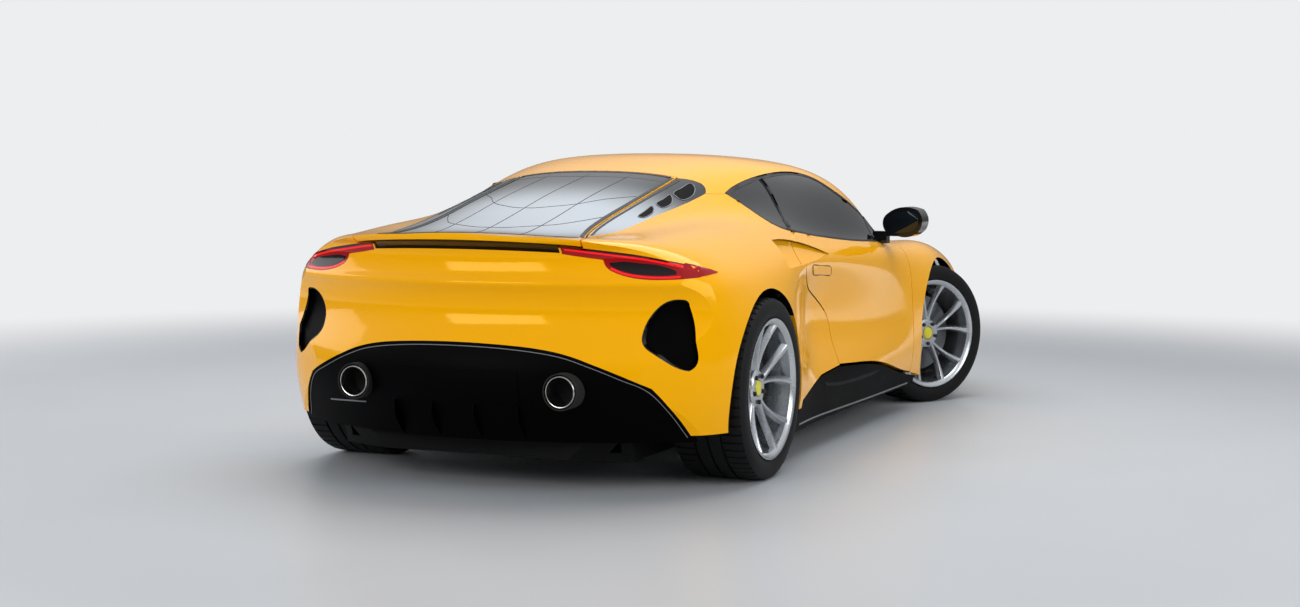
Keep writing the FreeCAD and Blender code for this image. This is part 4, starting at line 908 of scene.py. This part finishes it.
@dataclass
class Tail:
    """Tail: lamp inserts, vent rims, trim and painted edge highlights of the diffuser and sleeves of the
    exhaust tips.
    """

    skin: Skin
    exhaust_y: float = 419.0
    exhaust_z: float = 390.0
    exhaust_radius: float = 66.0
    sleeve_radius: float = 56.0
    mouth_x: float = -2164.0
    guide_width: float = 7.0
    ring_steps: int = 72
    fins: tuple[float, ...] = (-250.0, -85.0, 85.0, 250.0)
    fin_foot: float = 200.0
    fin_height: float = 130.0
    fin_reach: float = 30.0
    fin_thickness: float = 5.0
    vent: Drawn = field(default_factory=lambda: [
        (-772, 708), (-722, 699), (-686, 668), (-660, 620), (-655, 570), (-672, 540), (-712, 512),
        (-765, 473), (-805, 456), (-826, 474), (-828, 540), (-812, 620), (-794, 684)])
    # Line along the diffuser's edge, in mm seen from behind, where a grey highlight is painted.
    diffuser_edge_highlight: Drawn = field(default_factory=lambda: [
        (-786, 215), (-742, 312), (-686, 388), (-606, 428), (-497, 474), (-378, 511), (-200, 532), (0, 538),
        (200, 532), (378, 511), (497, 474), (606, 428), (686, 388), (742, 312), (786, 215)])

    def lamps(self) -> None:
        """Makes the smoked middle of each lamp, the red guides round it, its tip and the shade above it."""
        bm = self.skin.lay([(-540, 838), (-588, 842), (-643, 836), (-700, 829), (-748, 812), (-756, 800)],
                           [(-545, 826), (-575, 812), (-619, 800), (-674, 794), (-720, 793), (-756, 797)],
                           Way.BEHIND, lift=0.2, thick=1.0, cols=30, rows=3)
        mirrored("lamp_smoked_middles", bm, SMOKED_LENS, "lamp_lens")
        for name, path in (
                ("lamp_guides_upper",
                 [(-392, 884), (-430, 880), (-535, 866), (-643, 851), (-735, 832), (-800, 814)]),
                ("lamp_guides_lower",
                 [(-545, 819), (-590, 800), (-649, 789), (-704, 786), (-760, 788), (-800, 796)])):
            bm = self.skin.line(path, self.guide_width, Way.BEHIND, lift=0.2, thick=0.8, cols=30)
            mirrored(name, bm, RED_GUIDE, "lamp_lens")
        bm = self.skin.lay([(-770, 836), (-800, 826), (-830, 813), (-852, 800)],
                           [(-770, 780), (-800, 784), (-830, 789), (-852, 796)],
                           Way.BEHIND, lift=0.2, thick=1.0, cols=24, rows=4)
        mirrored("lamp_tips", bm, RED_LENS, "lamp_lens")
        bm = self.skin.lay([(-384, 896), (-430, 891), (-535, 878), (-643, 862), (-723, 844)],
                           [(-384, 890), (-430, 886), (-535, 872), (-643, 857), (-723, 839)],
                           Way.BEHIND, lift=0.2, thick=0.8)
        twin(bm)
        finished("lamp_shades", bm, GLOSS_BLACK, "body")

    def vents(self) -> None:
        """Makes the polished rim of each vent."""
        mirrored("vent_rims", self.skin_ring(self.vent, 9.0, 16.0, 3.0), GLOSS_BLACK)

    def skin_ring(self, path: Drawn, width: float, depth: float, sunk: float) -> bmesh.types.BMesh:
        """Makes a ring that lines an opening of the tail.

        Args:
            path: outline of the opening in mm, seen from behind.
            width: width of the ring's face.
            depth: how far the ring runs into the opening.
            sunk: how far its face lies below the skin.

        Returns:
            The ring as a closed mesh.
        """
        centre = sum((Vector(p) for p in path), Vector((0, 0))) / len(path)
        outer = even(smooth_path(path, True), self.ring_steps)
        bm = bmesh.new()
        bmesh.ops.create_grid(bm, x_segments=self.ring_steps, y_segments=2, size=0.5)
        for vert in bm.verts:
            col = round((vert.co.x + 0.5) * self.ring_steps)
            row = round((vert.co.y + 0.5) * 2)
            spot = outer[col]
            inward = (centre - spot).normalized()
            place, _ = self.skin.touch(Way.BEHIND, spot.x - inward.x * 3, spot.y - inward.y * 3)
            inner = spot + inward * (0.5, 0.5 + width * 0.35, width)[row]
            vert.co = Vector((place.x + (sunk, sunk + 2, sunk + depth)[row] * MM, inner.x * MM, inner.y * MM))
        bm.normal_update()
        bmesh.ops.remove_doubles(bm, verts=bm.verts[:], dist=1e-6)
        bmesh.ops.solidify(bm, geom=bm.faces[:], thickness=1.2 * MM)
        return bm

    def diffuser(self) -> None:
        """Makes the grey painted highlight along the edge, the fins, the painted highlight strip and the bare
        plate panel of the diffuser.
        """
        under = Skin(("rear_diffuser",))
        # Grey painted highlight along the diffuser's edge.
        bm = under.line(self.diffuser_edge_highlight, 2.5, Way.BEHIND, lift=0.2, thick=1.5, cols=120)
        finished("diffuser_edge_highlight", bm, PAINTED_EDGE_HIGHLIGHT, "body")
        bm = bmesh.new()
        for y in self.fins:
            fin = bmesh.ops.create_grid(bm, x_segments=8, y_segments=1, size=0.5)["verts"]
            for vert in fin:
                z = self.fin_foot + (vert.co.x + 0.5) * self.fin_height
                place, _ = under.touch(Way.BEHIND, y, z)
                reach = self.fin_reach * math.sin(math.pi * (vert.co.x + 0.5) * 0.9)
                vert.co = Vector((place.x - (reach if vert.co.y > 0 else -4) * MM, y * MM, z * MM))
        bmesh.ops.solidify(bm, geom=bm.faces[:], thickness=self.fin_thickness * MM)
        finished("diffuser_fins", bm, SATIN_BLACK, "body")
        bm = under.lay([(-255, 452), (-90, 455), (90, 455), (255, 452)],
                       [(-255, 345), (-90, 345), (90, 345), (255, 345)],
                       Way.BEHIND, lift=0.5, thick=3.0, cols=24, rows=6)
        finished("plate_panel_bare", bm, SATIN_BLACK, "body")
        # A short grey strip of painted highlight on the left of the diffuser.
        bm = under.line([(612, 297), (508, 303), (405, 308)], 5.0, Way.BEHIND, lift=0.3, thick=2.5, cols=16)
        finished("diffuser_highlight_left", bm, PAINTED_EDGE_HIGHLIGHT, "body")

    def exhaust(self) -> None:
        """Makes the bright inner sleeve and the sooted bore of each exhaust tip."""
        r, s = self.exhaust_radius, self.sleeve_radius
        place = Vector((self.mouth_x, -self.exhaust_y, self.exhaust_z))
        for name, finish, profile in (
                ("exhaust_lips", STEEL,
                 [(s - 5, 6), (s - 3.5, 1), (s - 1, 0), (s + 1, 2), (s + 1.5, 30), (s - 5, 30)]),
                ("exhaust_bores", SOOT,
                 [(r - 5.5, 8), (r - 8, 12), (r - 9, 100), (2, 118), (0.5, 119), (r - 5.5, 121)])):
            bm = lathe(profile, X_AXIS, Z_AXIS, 64)
            bmesh.ops.translate(bm, vec=place * MM, verts=bm.verts[:])
            mirrored(name, bm, finish, "steel")

    def build(self) -> None:
        """Makes every piece of the tail."""
        self.lamps()
        self.vents()
        self.diffuser()
        self.exhaust()


@dataclass
class Greenhouse:
    """Glass borders, louvres, seals and wipers."""

    skin: Skin
    slots: tuple[tuple[Drawn, Drawn], ...] = (
        ([(-1490, -424), (-1420, -420), (-1345, -417)], [(-1478, -446), (-1410, -448), (-1362, -434)]),
        ([(-1300, -418), (-1230, -418), (-1160, -416)], [(-1316, -452), (-1250, -458), (-1190, -440)]),
        ([(-1130, -420), (-1040, -420), (-962, -424)], [(-1160, -468), (-1080, -480), (-996, -458)]))

    def rear_glass(self) -> None:
        """Makes the seals, the shade band and the ribs of the rear glass and the borders of its trims."""
        lid = "tailgate"
        pane = Skin(("tailgate", "rear_glass"))
        bm = pane.lay(
            [(-1958, -398), (-1880, -369), (-1750, -339), (-1600, -330), (-1400, -334), (-1150, -336),
             (-972, -334)],
            [(-1975, -425), (-1880, -387), (-1750, -358), (-1600, -349), (-1400, -352), (-1150, -354),
             (-957, -352)], Way.ABOVE, lift=0.3, thick=1.2, cols=60, rows=2)
        mirrored("rear_glass_side_seals", bm, SEAL, body=lid)
        bm = Skin(("louvre_trims",)).lay(
            [(-1870, -402), (-1750, -373), (-1600, -362), (-1400, -365), (-1150, -367), (-965, -366)],
            [(-1870, -411), (-1750, -382), (-1600, -371), (-1400, -374), (-1150, -378), (-965, -382)],
            Way.ABOVE, lift=0.2, thick=1.0, cols=60)
        mirrored("louvre_trim_borders", bm, SEAL)
        bm = pane.line([(-956, -338), (-963, -170), (-965, 0), (-963, 170), (-956, 338)], 12,
                       Way.ABOVE, lift=0.3, thick=1.2, cols=40)
        finished("rear_glass_top_seal", bm, SEAL, lid)
        bm = self.skin.line([(-1966, -400), (-2010, -250), (-2030, 0), (-2010, 250), (-1966, 400)], 14,
                            Way.ABOVE, lift=0.3, thick=1.2, cols=40)
        finished("rear_glass_foot_seal", bm, SEAL, lid)
        bm = self.skin.lay([(-966, -336), (-975, 0), (-966, 336)], [(-1035, -336), (-1062, 0), (-1035, 336)],
                           Way.ABOVE, lift=0.1, thick=0.4, cols=40, rows=4)
        finished("rear_glass_shade_band", bm, GLOSS_BLACK, lid)
        bow = [(-1290, -330), (-1400, -250), (-1520, -170), (-1590, -60), (-1600, 0)]
        low_bow = [(-1600, -330), (-1700, -280), (-1800, -210), (-1870, -80), (-1880, 0)]
        for name, path in (("rear_glass_rib_middle", [(-1000, 0), (-1500, 0), (-2020, 0)]),
                           ("rear_glass_rib_right", [(-1000, -180), (-1500, -180), (-2010, -180)]),
                           ("rear_glass_rib_left", [(-1000, 180), (-1500, 180), (-2010, 180)]),
                           ("rear_glass_rib_front", bow + [(x, -y) for x, y in bow[-2::-1]]),
                           ("rear_glass_rib_rear", low_bow + [(x, -y) for x, y in low_bow[-2::-1]])):
            bm = self.skin.line(path, 3.0, Way.ABOVE, lift=0.1, thick=0.5, cols=60)
            finished(name, bm, SEAL, lid)

    def louvres(self) -> None:
        """Makes the three slots of each louvre trim with a grey painted highlight round their lips."""
        for number, (near, far) in enumerate(self.slots):
            bm = self.skin.lay(near, far, Way.ABOVE, lift=0.2, thick=0.6, cols=16, rows=3)
            mirrored(f"louvre_slots_{number}", bm, SATIN_BLACK)
            # Grey painted highlight round the lips of each slot.
            bm = self.skin.line([*near, *far[::-1]], 3.0, Way.ABOVE, True, lift=0.4, thick=1.5, cols=48)
            mirrored(f"louvre_lip_highlights_{number}", bm, PAINTED_EDGE_HIGHLIGHT)

    def side_glass(self) -> None:
        """Makes the seals along the side windows, the divider bars and the front sails."""
        top = [(-893, 1060), (-780, 1090), (-560, 1126), (-300, 1141), (-100, 1122), (110, 1053), (300, 993),
               (474, 935), (600, 866), (680, 822)]
        foot = [(-690, 909), (-400, 878), (0, 846), (350, 828), (640, 818)]
        rear = [(-690, 909), (-794, 930), (-844, 961), (-868, 1005), (-893, 1060)]
        for name, path, width, on_door in (
                ("window_seal_top", top, 13, False), ("window_seal_foot", foot, 8, True),
                ("window_seal_rear", rear, 9, False),
                ("window_divider", [(-572, 1124), (-620, 1030), (-704, 909)], 15, False)):
            make = partial(self.skin.line, path, width, Way.RIGHT, lift=0.2, thick=1.0, cols=60)
            if on_door:
                on_doors((name, make, SEAL, "black_trim"))
            else:
                mirrored(f"{name}s", make(), SEAL)
        sail = partial(self.skin.lay, [(474, 936), (560, 888), (640, 842)],
                       [(440, 826), (540, 822), (640, 820)], Way.RIGHT, lift=0.3, thick=1.0, cols=14, rows=5)
        on_doors(("window_sail", sail, GLOSS_BLACK, "black_trim"))

    def windscreen(self) -> None:
        """Makes the black frit round the windscreen and the wipers."""
        for name, path, width in (
                ("windscreen_frit_foot",
                 [(788, -640), (846, -470), (884, -240), (893, 0), (884, 240), (846, 470), (788, 640)], 16),
                ("windscreen_frit_top", [(222, -530), (272, -300), (288, 0), (272, 300), (222, 530)], 40)):
            bm = self.skin.line(path, width, Way.ABOVE, lift=0.1, thick=0.8, cols=60)
            finished(name, bm, SEAL, "body")
        bm = self.skin.line([(786, -652), (620, -616), (420, -574), (222, -536)], 16, Way.ABOVE, lift=0.1,
                            thick=0.8)
        mirrored("windscreen_frit_sides", bm, SEAL)
        for name, path in (("wiper_left", [(850, 300), (838, 120), (815, -60), (790, -180)]),
                           ("wiper_right", [(868, -80), (840, -220), (800, -380), (755, -500)])):
            bm = self.skin.line(path, 13, Way.ABOVE, lift=6, thick=7, cols=30)
            finished(name, bm, SATIN_BLACK, "body")

    def build(self) -> None:
        """Makes every piece of the greenhouse."""
        self.rear_glass()
        self.louvres()
        self.side_glass()
        self.windscreen()


@dataclass
class Flank:
    """Door handles, mirror glasses and shells, sill inserts and painted highlights along the sill feet."""

    skin: Skin
    handle: tuple[Drawn, Drawn] = (
        [(-713, 770), (-590, 762), (-465, 752)], [(-680, 731), (-560, 724), (-446, 716)])

    def handles(self) -> None:
        """Makes the flush handle of each door with the dark gap round it."""
        near, far = self.handle
        gap = partial(self.skin.line, [*near, *far[::-1]], 4.0, Way.RIGHT, closed=True, lift=0.1, thick=0.5,
                      cols=64)
        pull = partial(self.skin.lay, near, far, Way.RIGHT, lift=0.1, thick=1.6, cols=20, rows=4)
        on_doors(("handle_gap", gap, SEAL, "black_trim"), ("handle", pull, PAINT, "body_paint"))

    def mirror_pane(self) -> bmesh.types.BMesh:
        """Makes the slightly bulged glass of the right mirror."""
        bm = bmesh.new()
        bmesh.ops.create_grid(bm, x_segments=24, y_segments=8, size=0.5)
        for vert in bm.verts:
            u, v = vert.co.x * 2, vert.co.y * 2
            bulge = math.sqrt(1 - 0.8 * abs(u) ** 3)
            vert.co = Vector((388.5 + 1.5 * (u * u + v * v) / 2, -930 - 74 * u,
                              914 + 8 * u + 47 * v * bulge)) * MM
        bmesh.ops.solidify(bm, geom=bm.faces[:], thickness=2.5 * MM)
        return bm

    def mirrors(self) -> None:
        """Makes the silvered glass and the yellow front shell of each mirror."""
        shell = partial(Skin(("mirror_right",)).lay, [(-868, 944), (-905, 964), (-990, 958)],
                        [(-872, 884), (-930, 866), (-1000, 892)], Way.AHEAD, lift=0.1, thick=1.5, cols=16,
                        rows=8)
        on_doors(("mirror_glass", self.mirror_pane, SILVERED, "black_trim"),
                 ("mirror_shell", shell, PAINT, "body_paint"))

    def sills(self) -> None:
        """Makes the dark insert of each sill blade and the grey painted highlight along its foot."""
        blade = Skin(("sill_blades",))
        bm = blade.lay([(-612, 280), (-430, 262), (-250, 255), (0, 255), (225, 252)],
                       [(-585, 264), (-430, 248), (-250, 241), (-60, 238), (60, 238)],
                       Way.RIGHT, lift=0.3, thick=1.5, cols=40, rows=2)
        mirrored("sill_inserts", bm, E_COAT)
        # Grey painted highlight along the foot of the sill blade.
        bm = blade.line([(-960, 150), (-512, 145), (0, 138), (400, 136), (700, 136)], 7, Way.RIGHT, lift=0.3,
                        thick=1.5)
        mirrored("sill_foot_highlights", bm, PAINTED_EDGE_HIGHLIGHT)

    def build(self) -> None:
        """Makes every piece of the flanks."""
        self.handles()
        self.mirrors()
        self.sills()


@dataclass
class Front:
    """Front end: lamp internals, grille slats and outlets of the lid."""

    skin: Skin
    slat_length: float = 680.0
    slat_levels: range = range(230, 390, 26)

    def lamps(self) -> None:
        """Makes the dark bowl and the two light blades in each headlamp."""
        bm = self.skin.lay([(1600, -770), (1720, -680), (1900, -610), (1990, -580)],
                           [(1640, -792), (1760, -778), (1890, -722), (1975, -640)],
                           Way.ABOVE, lift=-26, thick=3, cols=24, rows=6)
        mirrored("headlamp_bowls", bm, SATIN_BLACK)
        for number in range(2):
            path = [(1680 + 60 * number, -752 + 26 * number), (1790 + 40 * number, -716 + 26 * number),
                    (1930 + 10 * number, -640 + 20 * number)]
            bm = self.skin.line(path, 9, Way.ABOVE, lift=-20, thick=8)
            mirrored(f"headlamp_blades_{number}", bm, SILVER, "headlamp_lens")

    def grilles(self) -> None:
        """Makes the slats over the middle opening of the front."""
        back = Skin(("front_grille", "front_clam"))
        bm = bmesh.new()
        for z in self.slat_levels:
            bar = bmesh.ops.create_grid(bm, x_segments=30, y_segments=1, size=0.5)["verts"]
            for vert in bar:
                y = vert.co.x * self.slat_length
                place, _ = back.touch(Way.AHEAD, y, z)
                vert.co = Vector((place.x + (8 if vert.co.y > 0 else 1) * MM, y * MM, (z + 2) * MM))
        bmesh.ops.solidify(bm, geom=bm.faces[:], thickness=4 * MM)
        finished("front_grille_slats", bm, SATIN_BLACK, "body")

    def lid_vents(self) -> None:
        """Makes the two dark outlets in the lid."""
        bm = self.skin.lay([(1180, -240), (1230, -380), (1300, -460)],
                           [(1240, -230), (1290, -360), (1370, -440)],
                           Way.ABOVE, lift=0.1, thick=0.8, cols=20, rows=3)
        mirrored("bonnet_outlets", bm, SATIN_BLACK, body="bonnet")

    def build(self) -> None:
        """Makes every piece of the front."""
        self.lamps()
        self.grilles()
        self.lid_vents()


@dataclass
class Cabin:
    """Seats, displays and the fittings that show through the glass."""

    seat_y: float = 370.0
    voxel: float = 9.0
    pressure: float = 4.0
    swell_cap: float = 16.0
    last_frame: int = 20

    def block(self, size: tuple[float, float, float], cuts: int) -> bmesh.types.BMesh:
        """Makes a finely cut block with rounded edges.

        Args:
            size: length, width and height in mm.
            cuts: cuts along each edge.

        Returns:
            The block, its middle at the origin.
        """
        bm = bmesh.new()
        bmesh.ops.create_cube(bm, size=1.0)
        bmesh.ops.scale(bm, vec=Vector(size) * MM, verts=bm.verts[:])
        bmesh.ops.bevel(bm, geom=bm.edges[:], offset=min(size) * 0.3 * MM, segments=3, profile=0.5,
                        affect="EDGES", material=-1)
        bmesh.ops.subdivide_edges(bm, edges=bm.edges[:], cuts=cuts, use_grid_fill=True)
        return bm

    def swell(self, piece: bpy.types.Object) -> None:
        """Blows a cushion up like foam under its cover, by a cloth simulation that is kept in its mesh."""
        remesh = piece.modifiers.new("even_cloth", "REMESH")
        remesh.mode = "VOXEL"
        remesh.voxel_size = self.voxel * MM
        self.keep_shape(piece)
        start = [v.co.copy() for v in piece.data.vertices]
        cloth = piece.modifiers.new("cover", "CLOTH")
        cloth.settings.use_pressure = True
        cloth.settings.uniform_pressure_force = self.pressure
        cloth.settings.effector_weights.gravity = 0.0
        for number in range(1, self.last_frame + 1):
            bpy.context.scene.frame_set(number)
        self.keep_shape(piece)
        bpy.context.scene.frame_set(1)
        for vert, before in zip(piece.data.vertices, start):
            move = vert.co - before
            if move.length > self.swell_cap * MM:
                vert.co = before + move.normalized() * self.swell_cap * MM

    def keep_shape(self, piece: bpy.types.Object) -> None:
        """Puts what the modifiers of a piece give into its mesh."""
        graph = bpy.context.evaluated_depsgraph_get()
        graph.update()
        shaped = bpy.data.meshes.new_from_object(piece.evaluated_get(graph))
        piece.modifiers.clear()
        piece.data = shaped
        for face in shaped.polygons:
            face.use_smooth = True

    def cushion(self, name: str, size: tuple[float, float, float], middle: tuple[float, float, float],
                lean: float, bolster: float) -> None:
        """Makes one cushion of the right seat and its mirror image for the left one.

        Args:
            name: name of the cushion.
            size: length, width and height in mm.
            middle: its middle in mm.
            lean: degrees that its foot is tilted forward.
            bolster: how far its sides stand proud in mm.
        """
        bm = self.block(size, 5)
        for vert in bm.verts:
            u, v = vert.co.x / (size[0] * MM / 2), vert.co.y / (size[1] * MM / 2)
            if vert.co.z > 0:
                vert.co.z += (bolster * abs(v) ** 4 - 12 * (1 - v * v)) * MM
            vert.co.y *= 1 - 0.06 * u * u
        lean_and_move(bm, bm.verts[:], lean, middle)
        right = finished(f"{name}_right", bm, LEATHER, "body")
        self.swell(right)
        dress(right, LEATHER)
        left = right.copy()
        left.data = right.data.copy()
        left.name = left.data.name = f"{name}_left"
        bpy.context.scene.collection.objects.link(left)
        mirror = bmesh.new()
        mirror.from_mesh(left.data)
        other_side(mirror)
        bmesh.ops.recalc_face_normals(mirror, faces=mirror.faces[:])
        mirror.to_mesh(left.data)
        mirror.free()
        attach(left, "body")

    def seats(self) -> None:
        """Makes both seats: hard shells with their cushions and headrests."""
        shell = bmesh.new()
        for size, middle, lean in (((560, 490, 50), (-120, -self.seat_y, 180), -3),
                                   ((90, 470, 620), (-425, -self.seat_y, 590), -14)):
            part = self.block(size, 3)
            lean_and_move(part, part.verts[:], lean, middle)
            join(shell, part)
        twin(shell)
        shells = finished("seat_shells", shell, SOFT_TRIM, "body")
        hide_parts("seats")
        self.cushion("seat_base", (480, 430, 90), (-100, -self.seat_y, 250), -7, 34)
        self.cushion("seat_back", (80, 420, 470), (-365, -self.seat_y, 560), -14, 0)
        self.cushion("seat_headrest", (70, 250, 130), (-455, -self.seat_y, 838), -10, 0)

    def fittings(self) -> None:
        """Makes the two displays and the gear selector."""
        displays = bmesh.new()
        for size, middle, lean in (((14, 290, 110), (366, 370, 800), 16),
                                   ((16, 250, 160), (352, 0, 790), 20)):
            part = bmesh.ops.create_cube(displays, size=1.0)["verts"]
            bmesh.ops.scale(displays, vec=Vector(size) * MM, verts=part)
            lean_and_move(displays, part, lean, middle)
        bmesh.ops.bevel(displays, geom=displays.edges[:], offset=4 * MM, segments=2, profile=0.5,
                        affect="EDGES", material=-1)
        finished("dash_displays", displays, DISPLAY, "body")
        lever = self.block((70, 46, 90), 2)
        bmesh.ops.translate(lever, vec=Vector((60, 0, 474)) * MM, verts=lever.verts[:])
        finished("gear_selector", lever, LEATHER, "body")

    def build(self) -> None:
        """Makes every piece of the cabin."""
        self.seats()
        self.fittings()


def main() -> None:
    """Builds the studio and every piece of the car."""
    logging.basicConfig(level=logging.INFO, format="%(message)s")
    Studio().build()
    for finish, names in NODE_FINISHES.items():
        for name in names:
            dress(frame["nodes"][name], finish)
    skin = Skin(OUTER_SKIN)
    for end, radius, width, dish in (("front", 340.0, 245.0, 46.0), ("rear", 342.5, 295.0, 62.0)):
        for side in ("left", "right"):
            Wheel(end, side, radius, width, dish).build()
    for assembly in (Tail(skin), Greenhouse(skin), Flank(skin), Front(skin), Cabin()):
        assembly.build()


if __name__ == "__main__":
    main()
